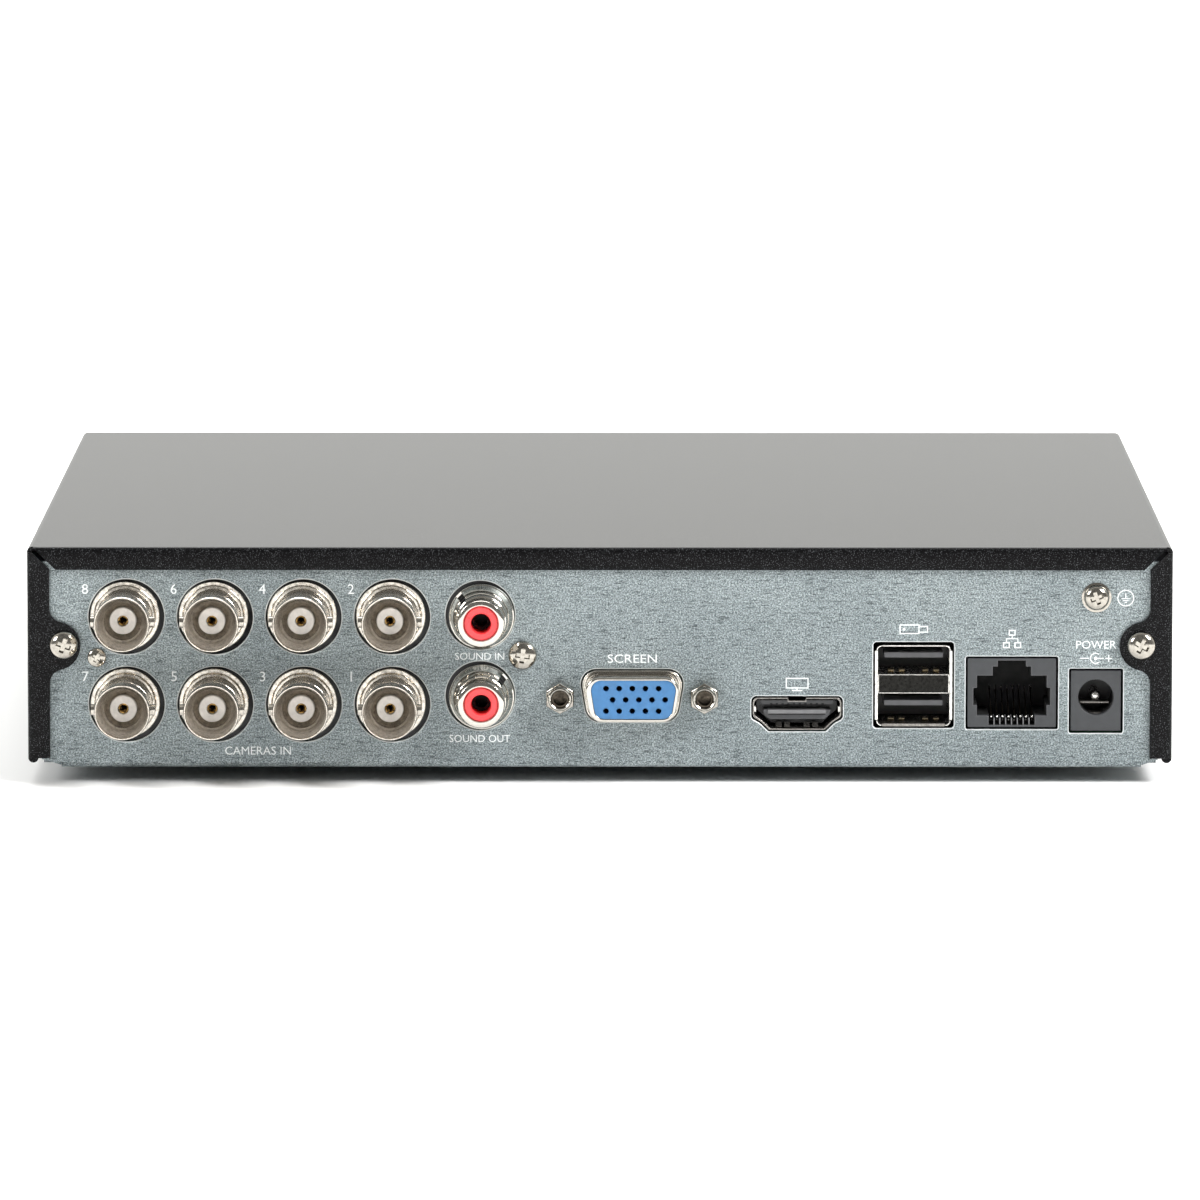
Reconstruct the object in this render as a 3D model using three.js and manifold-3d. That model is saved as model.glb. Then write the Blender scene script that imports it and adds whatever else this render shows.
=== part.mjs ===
// A compact eight-channel video recorder: folded steel case, connector panel, main board and hard drive.
// Millimetres, +Z up. The connector panel faces -Y and the front bezel faces +Y.
// The origin is on the resting plane, under the middle of the whole object.
import * as THREE from "three";
import { mergeVertices } from "three/addons/utils/BufferGeometryUtils.js";
import Module from "manifold-3d";

const wasm = await Module();
wasm.setup();

// ---------- driving dimensions ----------

const WIDTH = 200;
const DEPTH = 203.5;
const HEIGHT = 41.6;
const SHEET = 0.8; // thickness of both folded steel sheets
const FIT_GAP = 0.2; // clearance between neighbouring pieces
const MATE_GAP = 0.05; // clearance between faces that rest on each other

const HALF = WIDTH / 2;
const BACK = -DEPTH / 2; // the video sockets' front rims
const FRONT = DEPTH / 2; // the bezel's face

// Feet and case levels
const FLOOR_Z = 2.65; // underside of the chassis floor
const SKIRT_Z = 3.52; // lower edge of the cover's side walls
const PANEL_TOP = 39;

// Stations along Y
const VIDEO_REACH = 12.6; // how far the video sockets stand out of the panel
const PANEL_Y = BACK + VIDEO_REACH; // the panel's outer face
const FLANGE_Y = PANEL_Y - FIT_GAP - SHEET; // the cover's rear face
const BEZEL_DEPTH = 7.7;
const BEZEL_Y = FRONT - BEZEL_DEPTH;
const FRONT_WALL_Y = BEZEL_Y - FIT_GAP;

// Chassis
const TRAY_HALF = 97.6;
const FOLD = { left: -94.2, right: 94.7, radius: 1.4 };
const SIDE_FLANGE_TOP = 14;

// Cover
const COVER_BEND = 1.6;
const HEM_WIDTH = 1.8;
const HEM_HEIGHT = 6;
const TOP_STRIP_Z = 37.6; // lower edge of the rear flange's top strip
const SIDE_STRIP_X = 96.1; // inner edge of the rear flange's side strips
const EAR = { x: 95, z: 24.2, radius: 4.27, fillet: 2.5 };

// Sockets on the panel, each by the centre of its opening
const VIDEO = { x: -82.95, z: 14.04, across: 15.48, up: 15.4, hole: 6.6, columns: 4 };
const AUDIO = { x: -21, zOut: 15.5, zIn: 29.7, hole: 6 };
const VGA = { x: 5.65, z: 15.4, screwSpan: 25.2 };
const DIGITAL = { x: 34.47, z: 12.2, width: 16, height: 6.2 };
const USB = { x: 54.82, z: 17.27, width: 14.1, height: 15.15 };
const LAN = { x: 72, z: 15.9, width: 16.15, height: 12.8 };
const POWER = { x: 86.7, z: 14.5, width: 9.45, height: 11.35, holeZ: 15.1 };

// Fasteners on the panel
const COVER_SCREW = { left: -93.6, right: 94.5, z: 24.45 };
const GROUND_SCREW = { x: 86.7, z: 32.75 };
const AUDIO_SCREW = { x: -13.5, z: 22.55 };
const VIDEO_SCREW = { x: -87.9, z: 22.1 };

// Main board
const BOARD = { left: -94, right: 94, back: -87.2, front: -22, z: 7.4, thick: 1.6 };
const BOARD_TOP = BOARD.z + BOARD.thick;

// Hard drive, 3.5 inch, long side across the case
const DRIVE = { x: 12, y: 38, z: 6, length: 147, width: 101.6, height: 26.1 };
const SPINDLE = { x: 34, y: 38 };
const ARM_PIVOT = { x: -22, y: 22 };
const ARM_LENGTH = 52;
const ARM_PARK_ANGLE = THREE.MathUtils.degToRad(68.9);
const PLATTER_Z = 19.6;
const PLATTER_RADIUS = 47.5;

// ---------- materials ----------

const finish = (color, roughness, metalness) =>
  new THREE.MeshStandardMaterial({ color, roughness, metalness });
const galvanised = finish(0x9fadb0, 0.45, 0.85);
const blackPaint = finish(0x26282a, 0.55, 0.2);
const blackPlastic = finish(0x17181a, 0.45, 0);
const nickel = finish(0xc9c4ba, 0.28, 0.95);
const zincScrew = finish(0xd6cdbd, 0.25, 0.95);
const whitePlastic = finish(0xe9e5de, 0.5, 0);
const redPlastic = finish(0xe23a3c, 0.4, 0);
const bluePlastic = finish(0x4f97d6, 0.45, 0);
const rubber = finish(0x1b1b1c, 0.9, 0);
const clearPlastic = finish(0xcfd8dc, 0.15, 0);
const boardGreen = finish(0x1f5a3a, 0.5, 0);
const aluminium = finish(0xb4b7ba, 0.4, 0.9);
const steel = finish(0xbfc2c4, 0.35, 0.95);
const mirrorDisc = finish(0xd9dcdf, 0.05, 1);
const cableRed = finish(0xb3262b, 0.5, 0);
const cableBlack = finish(0x202124, 0.55, 0);

// ---------- solids ----------

// A closed geometry as a solid that can be cut and joined.
function solid(geometry) {
  const loose = geometry.index ? geometry.toNonIndexed() : geometry;
  const bare = new THREE.BufferGeometry();
  bare.setAttribute("position", loose.getAttribute("position"));
  const merged = mergeVertices(bare, 1e-4);
  return new wasm.Manifold(
    new wasm.Mesh({
      numProp: 3,
      vertProperties: merged.attributes.position.array,
      triVerts: new Uint32Array(merged.index.array),
    }),
  );
}

// A solid as a flat-shaded geometry.
function geometryOf(body) {
  const mesh = body.getMesh();
  const points = new Float32Array(mesh.numVert * 3);
  for (let i = 0; i < mesh.numVert; i++) {
    points.set(mesh.vertProperties.subarray(i * mesh.numProp, i * mesh.numProp + 3), i * 3);
  }
  const indexed = new THREE.BufferGeometry();
  indexed.setAttribute("position", new THREE.BufferAttribute(points, 3));
  indexed.setIndex(new THREE.BufferAttribute(mesh.triVerts, 1));
  const flat = indexed.toNonIndexed();
  flat.computeVertexNormals();
  return flat;
}

const join = (...bodies) => bodies.reduce((whole, piece) => whole.add(piece));
const cut = (body, ...tools) => tools.reduce((rest, tool) => rest.subtract(tool), body);

// A box between two corners.
function box([x0, y0, z0], [x1, y1, z1]) {
  const geometry = new THREE.BoxGeometry(x1 - x0, y1 - y0, z1 - z0);
  return solid(geometry.translate((x0 + x1) / 2, (y0 + y1) / 2, (z0 + z1) / 2));
}

// A shape pushed along an axis: X takes a (y, z) outline, Y takes (x, z) and Z takes (x, y).
const SHAPE_TO_X = new THREE.Matrix4().set(0, 0, 1, 0, 1, 0, 0, 0, 0, 1, 0, 0, 0, 0, 0, 1);
function prism(axis, shape, from, to, curveSegments = 6) {
  const geometry = new THREE.ExtrudeGeometry(shape, { depth: to - from, bevelEnabled: false, curveSegments });
  if (axis === "x") geometry.applyMatrix4(SHAPE_TO_X).translate(from, 0, 0);
  if (axis === "y") geometry.rotateX(Math.PI / 2).translate(0, to, 0);
  if (axis === "z") geometry.translate(0, 0, from);
  return solid(geometry);
}

// An outline of straight sides.
const outline = (points) => new THREE.Shape(points.map(([a, b]) => new THREE.Vector2(a, b)));

// A rectangle round (a, b) with rounded corners.
function roundedRect(a, b, width, height, radius) {
  const [left, right] = [a - width / 2, a + width / 2];
  const [low, high] = [b - height / 2, b + height / 2];
  const shape = new THREE.Shape();
  shape.absarc(right - radius, high - radius, radius, 0, Math.PI / 2);
  shape.absarc(left + radius, high - radius, radius, Math.PI / 2, Math.PI);
  shape.absarc(left + radius, low + radius, radius, Math.PI, Math.PI * 1.5);
  shape.absarc(right - radius, low + radius, radius, Math.PI * 1.5, Math.PI * 2);
  shape.closePath();
  return shape;
}

function disc(a, b, radius) {
  const shape = new THREE.Shape();
  shape.absarc(a, b, radius, 0, Math.PI * 2);
  return shape;
}

// A profile of [radius, station] points turned round an axis through (a, b). Stations run along the axis.
function turned(axis, profile, a, b, segments = 20) {
  const area = profile.reduce((sum, [r, s], i) => {
    const [r2, s2] = profile[(i + 1) % profile.length];
    return sum + r * s2 - r2 * s;
  }, 0);
  const ordered = area > 0 ? profile : [...profile].reverse();
  const onAxis = profile[0][0] === 0;
  const points = (onAxis ? ordered : [...ordered, ordered[0]]).map(([r, s]) => new THREE.Vector2(r, s));
  const geometry = new THREE.LatheGeometry(points, segments);
  if (axis === "y") geometry.translate(a, 0, b);
  if (axis === "z") geometry.rotateX(Math.PI / 2).translate(a, b, 0);
  return solid(geometry);
}

// A plain cylinder along an axis.
const rod = (axis, radius, from, to, a, b, segments = 16) =>
  turned(axis, [[0, from], [radius, from], [radius, to], [0, to]], a, b, segments);

// A slot with round ends, long along the shape's second axis.
const slot = (a, b, width, length) => roundedRect(a, b, width, length, width / 2 - 0.01);

const group = new THREE.Group();
function add(name, body, material) {
  const mesh = new THREE.Mesh(geometryOf(body), material);
  mesh.name = name;
  group.add(mesh);
}

// Numbers 1 to 8 stand in columns of two: odd below, even above, 1 and 2 nearest the audio sockets.
const videoPlaces = Array.from({ length: 8 }, (_, i) => ({
  number: i + 1,
  x: VIDEO.x + VIDEO.across * (VIDEO.columns - 1 - Math.floor(i / 2)),
  z: VIDEO.z + VIDEO.up * (i % 2),
}));

// ---------- chassis tray: floor, connector panel, side flanges and front wall in one sheet ----------

// Outline of a D-shaped opening or shell, wide at the top.
function dShape(x, z, width, height, radius, slant = THREE.MathUtils.degToRad(10)) {
  const lean = Math.tan(slant) * (height / 2 - radius);
  const [low, high] = [z - height / 2, z + height / 2];
  const topX = width / 2 - radius + lean / 2;
  const lowX = width / 2 - radius - lean * 1.5;
  const shape = new THREE.Shape();
  shape.absarc(x + topX, high - radius, radius, -slant, Math.PI / 2);
  shape.absarc(x - topX, high - radius, radius, Math.PI / 2, Math.PI + slant);
  shape.absarc(x - lowX, low + radius, radius, Math.PI + slant, Math.PI * 1.5);
  shape.absarc(x + lowX, low + radius, radius, Math.PI * 1.5, Math.PI * 2 - slant);
  shape.closePath();
  return shape;
}

// Outline of the digital video socket: straight top, lower corners cut back in a step.
function digitalOutline(width, height) {
  const half = width / 2;
  const [low, high] = [DIGITAL.z - height / 2, DIGITAL.z + height / 2];
  const step = height * 0.42;
  return outline([
    [DIGITAL.x - half, high],
    [DIGITAL.x - half, high - height + step],
    [DIGITAL.x - half * 0.8, low + step * 0.72],
    [DIGITAL.x - half * 0.64, low],
    [DIGITAL.x + half * 0.64, low],
    [DIGITAL.x + half * 0.8, low + step * 0.72],
    [DIGITAL.x + half, high - height + step],
    [DIGITAL.x + half, high],
  ]);
}

// The fold between floor and panel, as a (y, z) outline.
function foldOutline() {
  const inner = FOLD.radius - SHEET;
  const centre = [PANEL_Y + FOLD.radius, FLOOR_Z + FOLD.radius];
  const shape = new THREE.Shape();
  shape.moveTo(centre[0] + 2, FLOOR_Z + SHEET);
  shape.absarc(centre[0], centre[1], inner, Math.PI * 1.5, Math.PI, true);
  shape.lineTo(PANEL_Y + SHEET, centre[1] + 2);
  shape.lineTo(PANEL_Y, centre[1] + 2);
  shape.absarc(centre[0], centre[1], FOLD.radius, Math.PI, Math.PI * 1.5);
  shape.lineTo(centre[0] + 2, FLOOR_Z);
  shape.closePath();
  return shape;
}

function panelCutouts() {
  const through = (shape, segments) => prism("y", shape, PANEL_Y - 1, PANEL_Y + SHEET + 1, segments);
  const square = (socket) => through(roundedRect(socket.x, socket.z, socket.width, socket.height, 0.5), 2);
  const screwHole = (x, z, radius) => through(disc(x, z, radius), 5);
  return [
    ...videoPlaces.map((place) => through(disc(place.x, place.z, VIDEO.hole), 8)),
    through(disc(AUDIO.x, AUDIO.zIn, AUDIO.hole), 8),
    through(disc(AUDIO.x, AUDIO.zOut, AUDIO.hole), 8),
    through(dShape(VGA.x, VGA.z, 17.9, 9.4, 2.6), 2),
    screwHole(VGA.x - VGA.screwSpan / 2, VGA.z, 1.7),
    screwHole(VGA.x + VGA.screwSpan / 2, VGA.z, 1.7),
    through(digitalOutline(DIGITAL.width, DIGITAL.height)),
    square(USB),
    square(LAN),
    square(POWER),
    screwHole(COVER_SCREW.left, COVER_SCREW.z, 1.6),
    screwHole(COVER_SCREW.right, COVER_SCREW.z, 1.6),
    screwHole(GROUND_SCREW.x, GROUND_SCREW.z, 1.6),
    screwHole(AUDIO_SCREW.x, AUDIO_SCREW.z, 1.6),
    screwHole(VIDEO_SCREW.x, VIDEO_SCREW.z, 1.1),
  ];
}

const BOARD_POSTS = [
  [-89, -80],
  [89, -80],
  [-89, -27],
  [89, -27],
];
const DRIVE_RAILS = [-47, 71];
const BEZEL_HOOKS = [-78, -26, 26, 78];
const HOOK = { width: 8, z: 33.4, thick: 1.4, barb: 2.1 };

function chassisTray() {
  const wallBack = FRONT_WALL_Y - SHEET;
  const plates = [
    box([-TRAY_HALF, PANEL_Y + 2.3, FLOOR_Z], [TRAY_HALF, FRONT_WALL_Y, FLOOR_Z + SHEET]),
    prism("x", foldOutline(), FOLD.left, FOLD.right, 4),
    box([-TRAY_HALF, PANEL_Y, FLOOR_Z + FOLD.radius + 0.4], [TRAY_HALF, PANEL_Y + SHEET, PANEL_TOP]),
    box([-TRAY_HALF, wallBack, FLOOR_Z], [TRAY_HALF, FRONT_WALL_Y, PANEL_TOP]),
  ];
  const flanges = [-1, 1].map((side) => {
    const [a, b] = [side * TRAY_HALF, side * (TRAY_HALF - SHEET)].sort((p, q) => p - q);
    return box([a, PANEL_Y + 2.3, FLOOR_Z], [b, FRONT_WALL_Y, SIDE_FLANGE_TOP]);
  });
  const posts = BOARD_POSTS.map(([x, y]) => rod("z", 3, FLOOR_Z + SHEET - 0.1, BOARD.z - MATE_GAP, x, y, 12));
  const rails = DRIVE_RAILS.map((x) =>
    box([x - 3, -10, FLOOR_Z + SHEET - 0.1], [x + 3, 86, DRIVE.z - MATE_GAP]),
  );
  const vents = [];
  for (const y of [12, 56]) {
    for (let i = 0; i < 8; i++) {
      vents.push(prism("z", slot(-30 + i * 12, y, 3, 26), FLOOR_Z - 1, FLOOR_Z + SHEET + 1, 1));
    }
  }
  const hookSlots = BEZEL_HOOKS.map((x) => {
    const half = HOOK.width / 2 + 0.5;
    const top = HOOK.z + HOOK.barb + 0.5;
    return box([x - half, wallBack - 1, HOOK.z - 0.5], [x + half, FRONT_WALL_Y + 1, top]);
  });
  const cableWindow = box([-85, wallBack - 1, 20], [-71, FRONT_WALL_Y + 1, 27]);
  const sheet = join(...plates, ...flanges, ...posts, ...rails);
  return cut(sheet, ...panelCutouts(), ...vents, ...hookSlots, cableWindow);
}
add("chassis_tray", chassisTray(), galvanised);

// ---------- top cover: roof, side walls, hems and the rear flange that laps the panel ----------

// The roof and side walls, as an (x, z) outline.
function coverOutline() {
  const inner = COVER_BEND - SHEET;
  const hemRadius = HEM_WIDTH / 2;
  const [wall, hem] = [HALF - SHEET, HALF - HEM_WIDTH];
  const [bendX, bendZ] = [HALF - COVER_BEND, HEIGHT - COVER_BEND];
  const hemX = HALF - hemRadius;
  const hemZ = SKIRT_Z + hemRadius;
  const hemTop = SKIRT_Z + HEM_HEIGHT;
  const shape = new THREE.Shape();
  shape.moveTo(-wall, hemTop);
  shape.absarc(-bendX, bendZ, inner, Math.PI, Math.PI / 2, true);
  shape.absarc(bendX, bendZ, inner, Math.PI / 2, 0, true);
  shape.lineTo(wall, hemTop);
  shape.lineTo(hem, hemTop);
  shape.absarc(hemX, hemZ, hemRadius, Math.PI, Math.PI * 2);
  shape.absarc(bendX, bendZ, COVER_BEND, 0, Math.PI / 2);
  shape.absarc(-bendX, bendZ, COVER_BEND, Math.PI / 2, Math.PI);
  shape.absarc(-hemX, hemZ, hemRadius, Math.PI, Math.PI * 2);
  shape.lineTo(-hem, hemTop);
  shape.closePath();
  return shape;
}

// One side strip of the rear flange with its round ear, drawn for the +X side.
function sideStrip() {
  const reach = EAR.radius + EAR.fillet;
  const filletX = SIDE_STRIP_X - EAR.fillet;
  const rise = Math.sqrt(reach ** 2 - (EAR.x - filletX) ** 2);
  const turn = Math.atan2(rise, EAR.x - filletX);
  const shape = new THREE.Shape();
  shape.moveTo(HALF - 0.4, SKIRT_Z + 0.9);
  shape.lineTo(HALF - 0.4, HEIGHT - 1.9);
  shape.lineTo(SIDE_STRIP_X, HEIGHT - 4.9);
  shape.absarc(filletX, EAR.z + rise, EAR.fillet, 0, -turn, true);
  shape.absarc(EAR.x, EAR.z, EAR.radius, Math.PI - turn, Math.PI + turn);
  shape.absarc(filletX, EAR.z - rise, EAR.fillet, turn, 0, true);
  shape.lineTo(SIDE_STRIP_X, SKIRT_Z + 0.9);
  shape.closePath();
  return shape;
}

const VENT_COUNT = 9;
const VENT_PITCH = 9;

function topCover() {
  const roof = prism("y", coverOutline(), FLANGE_Y, BEZEL_Y - FIT_GAP, 3);
  const topStrip = prism(
    "y",
    outline([[-95, TOP_STRIP_Z], [95, TOP_STRIP_Z], [98.4, HEIGHT - 0.4], [-98.4, HEIGHT - 0.4]]),
    FLANGE_Y,
    FLANGE_Y + SHEET,
  );
  const right = prism("y", sideStrip(), FLANGE_Y, FLANGE_Y + SHEET, 5);
  const left = right.mirror([1, 0, 0]);
  const screwHoles = [COVER_SCREW.left, COVER_SCREW.right].map((x) =>
    rod("y", 1.8, FLANGE_Y - 1, FLANGE_Y + SHEET + 1, x, COVER_SCREW.z, 12),
  );
  const vents = [-1, 1].flatMap((side) =>
    Array.from({ length: VENT_COUNT }, (_, i) => {
      const y = 28 + (i - (VENT_COUNT - 1) / 2) * VENT_PITCH;
      const [from, to] = [side * HALF - 2, side * HALF + 2];
      return prism("x", slot(y, 24, 3, 14), from, to, 1);
    }),
  );
  return cut(join(roof, topStrip, right, left), ...screwHoles, ...vents);
}
add("top_cover", topCover(), blackPaint);

// ---------- front bezel, light pipe and indicator board ----------

const INDICATORS = { x: -78, z: 13, pitch: 7, count: 3, radius: 1.3 };
const BEZEL_LOW = FLOOR_Z;
const BEZEL_HIGH = HEIGHT - 1.2;
const BEZEL_HALF = HALF - 0.2;
const BEZEL_WALL = 2.2;
const BEZEL_POCKET_Y = FRONT - 3.4;
const indicatorXs = Array.from({ length: INDICATORS.count }, (_, i) => INDICATORS.x + i * INDICATORS.pitch);

// The bezel's section, as a (y, z) outline: chamfered edges and one groove along the face.
function bezelSection() {
  const edge = 2.2;
  const grooveZ = (BEZEL_LOW + BEZEL_HIGH) / 2;
  return outline([
    [BEZEL_Y, BEZEL_LOW],
    [FRONT - edge, BEZEL_LOW],
    [FRONT, BEZEL_LOW + edge],
    [FRONT, grooveZ - 1.5],
    [FRONT - 1, grooveZ - 0.5],
    [FRONT - 1, grooveZ + 0.5],
    [FRONT, grooveZ + 1.5],
    [FRONT, BEZEL_HIGH - edge],
    [FRONT - edge, BEZEL_HIGH],
    [BEZEL_Y, BEZEL_HIGH],
  ]);
}

function frontBezel() {
  const block = prism("x", bezelSection(), -BEZEL_HALF, BEZEL_HALF);
  const pocket = box(
    [-BEZEL_HALF + BEZEL_WALL, BEZEL_Y - 1, BEZEL_LOW + BEZEL_WALL],
    [BEZEL_HALF - BEZEL_WALL, BEZEL_POCKET_Y, BEZEL_HIGH - BEZEL_WALL],
  );
  const chamfer = 2.2;
  const corner = prism(
    "z",
    outline([[BEZEL_HALF - chamfer, FRONT], [BEZEL_HALF, FRONT - chamfer], [BEZEL_HALF + 2, FRONT + 2]]),
    BEZEL_LOW - 1,
    BEZEL_HIGH + 1,
  );
  const lightHoles = indicatorXs.map((x) =>
    rod("y", INDICATORS.radius + FIT_GAP, BEZEL_POCKET_Y - 1, FRONT + 1, x, INDICATORS.z, 12),
  );
  const hooks = BEZEL_HOOKS.flatMap((x) => {
    const [left, right] = [x - HOOK.width / 2, x + HOOK.width / 2];
    const arm = box([left, FRONT_WALL_Y - 3, HOOK.z], [right, BEZEL_POCKET_Y + 0.5, HOOK.z + HOOK.thick]);
    const barb = box([left, FRONT_WALL_Y - 3, HOOK.z], [right, FRONT_WALL_Y - 1.2, HOOK.z + HOOK.barb]);
    return [arm, barb];
  });
  return join(cut(block, pocket, corner, corner.mirror([1, 0, 0]), ...lightHoles), ...hooks);
}
add("front_bezel", frontBezel(), blackPlastic);

function lightPipe() {
  const back = BEZEL_POCKET_Y - 1.6;
  const [first, last] = [indicatorXs[0], indicatorXs.at(-1)];
  const bar = box([first - 2.5, back, INDICATORS.z - 2], [last + 2.5, back + 1.4, INDICATORS.z + 2]);
  const tip = (x) => rod("y", INDICATORS.radius, back + 1, FRONT - 0.1, x, INDICATORS.z, 12);
  return join(bar, ...indicatorXs.map(tip));
}
add("indicator_light_pipe", lightPipe(), clearPlastic);

function indicatorBoard() {
  const back = BEZEL_Y + 0.2;
  return box([INDICATORS.x - 8, back, 7], [INDICATORS.x + 26, back + 1.2, 19]);
}
add("indicator_board", indicatorBoard(), boardGreen);

// ---------- screws and feet ----------

// A pan-head screw along Y with a cross recess. Its head seats at the given station and its shank runs to +Y.
function panScrew(x, z, seat, headRadius, headHeight, shankRadius, shankLength) {
  const top = seat - headHeight;
  const body = turned(
    "y",
    [
      [0, top],
      [headRadius * 0.5, top + headHeight * 0.1],
      [headRadius * 0.86, top + headHeight * 0.42],
      [headRadius, top + headHeight * 0.8],
      [headRadius, seat],
      [shankRadius, seat],
      [shankRadius, seat + shankLength],
      [0, seat + shankLength],
    ],
    x,
    z,
    14,
  );
  const [arm, half, depth] = [headRadius * 0.56, headRadius * 0.13, headHeight * 0.62];
  const across = box([x - arm, top - 1, z - half], [x + arm, top + depth, z + half]);
  const upright = box([x - half, top - 1, z - arm], [x + half, top + depth, z + arm]);
  return cut(body, across, upright);
}

const flangeSeat = FLANGE_Y - MATE_GAP;
const panelSeat = PANEL_Y - MATE_GAP;
const coverScrew = (x) => panScrew(x, COVER_SCREW.z, flangeSeat, 2.6, 1.9, 1.35, 6);
add("cover_screw_left", coverScrew(COVER_SCREW.left), zincScrew);
add("cover_screw_right", coverScrew(COVER_SCREW.right), zincScrew);
add("ground_screw", panScrew(GROUND_SCREW.x, GROUND_SCREW.z, panelSeat, 2.65, 1.9, 1.35, 6), zincScrew);
add("audio_block_screw", panScrew(AUDIO_SCREW.x, AUDIO_SCREW.z, panelSeat, 2.6, 1.7, 1.3, 6), zincScrew);
add("video_block_screw", panScrew(VIDEO_SCREW.x, VIDEO_SCREW.z, panelSeat, 1.7, 1.1, 0.9, 6), zincScrew);

const FOOT = { x: 80, rear: -58, front: 66, radius: 6.5 };
function foot(x, y) {
  const top = FLOOR_Z - MATE_GAP;
  const profile = [[0, 0], [FOOT.radius - 0.6, 0], [FOOT.radius, 0.6], [FOOT.radius, top], [0, top]];
  return turned("z", profile, x, y, 20);
}
add("foot_rear_left", foot(-FOOT.x, FOOT.rear), rubber);
add("foot_rear_right", foot(FOOT.x, FOOT.rear), rubber);
add("foot_front_left", foot(-FOOT.x, FOOT.front), rubber);
add("foot_front_right", foot(FOOT.x, FOOT.front), rubber);

// ---------- eight video sockets in one housing ----------

const HOUSING_Y = PANEL_Y + SHEET + FIT_GAP; // the socket housings' front faces, behind the panel
const VIDEO_BORE = 4.1;
const INSULATOR_SETBACK = 4.8;

const SCREW_BORE_DEPTH = 8;

function videoHousing() {
  const [left, right] = [VIDEO.x - 7.5, VIDEO.x + VIDEO.across * (VIDEO.columns - 1) + 7.5];
  const top = VIDEO.z + VIDEO.up + 7.4;
  const block = box([left, HOUSING_Y, BOARD_TOP + MATE_GAP], [right, HOUSING_Y + 15, top]);
  const step = box([left - 1, HOUSING_Y + 8, 28], [right + 1, HOUSING_Y + 16, top + 1]);
  const bore = rod("y", 1.1, HOUSING_Y - 1, HOUSING_Y + SCREW_BORE_DEPTH, VIDEO_SCREW.x, VIDEO_SCREW.z, 12);
  return cut(block, step, bore);
}
add("video_socket_housing", videoHousing(), blackPlastic);

function videoShell(x, z) {
  const rear = HOUSING_Y - MATE_GAP;
  const discY = PANEL_Y - 0.8;
  const shell = turned(
    "y",
    [
      [VIDEO_BORE + 0.3, BACK],
      [4.7, BACK],
      [4.85, BACK + 0.4],
      [4.85, discY - 1],
      [5.4, discY],
      [6.1, discY],
      [6.3, discY + 0.4],
      [6.3, rear],
      [3.6, rear],
      [3.6, BACK + 5.2],
      [VIDEO_BORE, BACK + 4.7],
      [VIDEO_BORE, BACK + 0.3],
    ],
    x,
    z,
    18,
  );
  const lugs = [-1, 1].map((side) => {
    const lug = solid(new THREE.CylinderGeometry(1, 1, 0.9, 8).rotateZ(Math.PI / 2));
    return lug.translate([x + side * 5.1, BACK + 4.9, z]);
  });
  return join(shell, ...lugs);
}

function videoInsulator(x, z) {
  const front = BACK + INSULATOR_SETBACK;
  const rear = HOUSING_Y - MATE_GAP;
  const profile = [[0, front], [2.3, front], [2.3, rear - 2], [3.4, rear - 2], [3.4, rear], [0, rear]];
  return turned("y", profile, x, z, 12);
}

for (const place of videoPlaces) {
  add(`video_socket_shell_${place.number}`, videoShell(place.x, place.z), nickel);
  add(`video_socket_insulator_${place.number}`, videoInsulator(place.x, place.z), whitePlastic);
}

// ---------- audio sockets ----------

const AUDIO_FRONT = PANEL_Y - 10.4;

function audioHousing() {
  const low = BOARD_TOP + MATE_GAP;
  const block = box([AUDIO.x - 6.6, HOUSING_Y, low], [AUDIO.x + 10, HOUSING_Y + 12, AUDIO.zIn + 6.4]);
  const bore = rod("y", 1.6, HOUSING_Y - 1, HOUSING_Y + SCREW_BORE_DEPTH, AUDIO_SCREW.x, AUDIO_SCREW.z, 12);
  return cut(block, bore);
}
add("audio_socket_housing", audioHousing(), blackPlastic);

function audioShell(z, slitAngle) {
  const rear = HOUSING_Y - MATE_GAP;
  const shell = turned(
    "y",
    [
      [3.3, AUDIO_FRONT],
      [3.95, AUDIO_FRONT],
      [4.15, AUDIO_FRONT + 0.4],
      [4.15, PANEL_Y - 3.4],
      [4.75, PANEL_Y - 2.2],
      [4.9, PANEL_Y - 0.6],
      [5.65, PANEL_Y - 0.3],
      [5.65, rear],
      [3.3, rear],
    ],
    AUDIO.x,
    z,
    20,
  );
  const slit = solid(new THREE.BoxGeometry(3, 2, 1).translate(5, PANEL_Y - 1.9, 0).rotateY(-slitAngle));
  return cut(shell, slit.translate([AUDIO.x, 0, z]));
}

function audioInsert(z) {
  const [front, rear] = [AUDIO_FRONT + 0.15, HOUSING_Y - MATE_GAP];
  return turned("y", [[1.65, front], [3.1, front], [3.1, rear], [1.65, rear]], AUDIO.x, z, 20);
}

add("audio_in_shell", audioShell(AUDIO.zIn, THREE.MathUtils.degToRad(130)), nickel);
add("audio_out_shell", audioShell(AUDIO.zOut, THREE.MathUtils.degToRad(48)), nickel);
add("audio_in_insert", audioInsert(AUDIO.zIn), redPlastic);
add("audio_out_insert", audioInsert(AUDIO.zOut), redPlastic);

// ---------- VGA socket ----------

const VGA_FRONT = PANEL_Y - 5.8;

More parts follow.
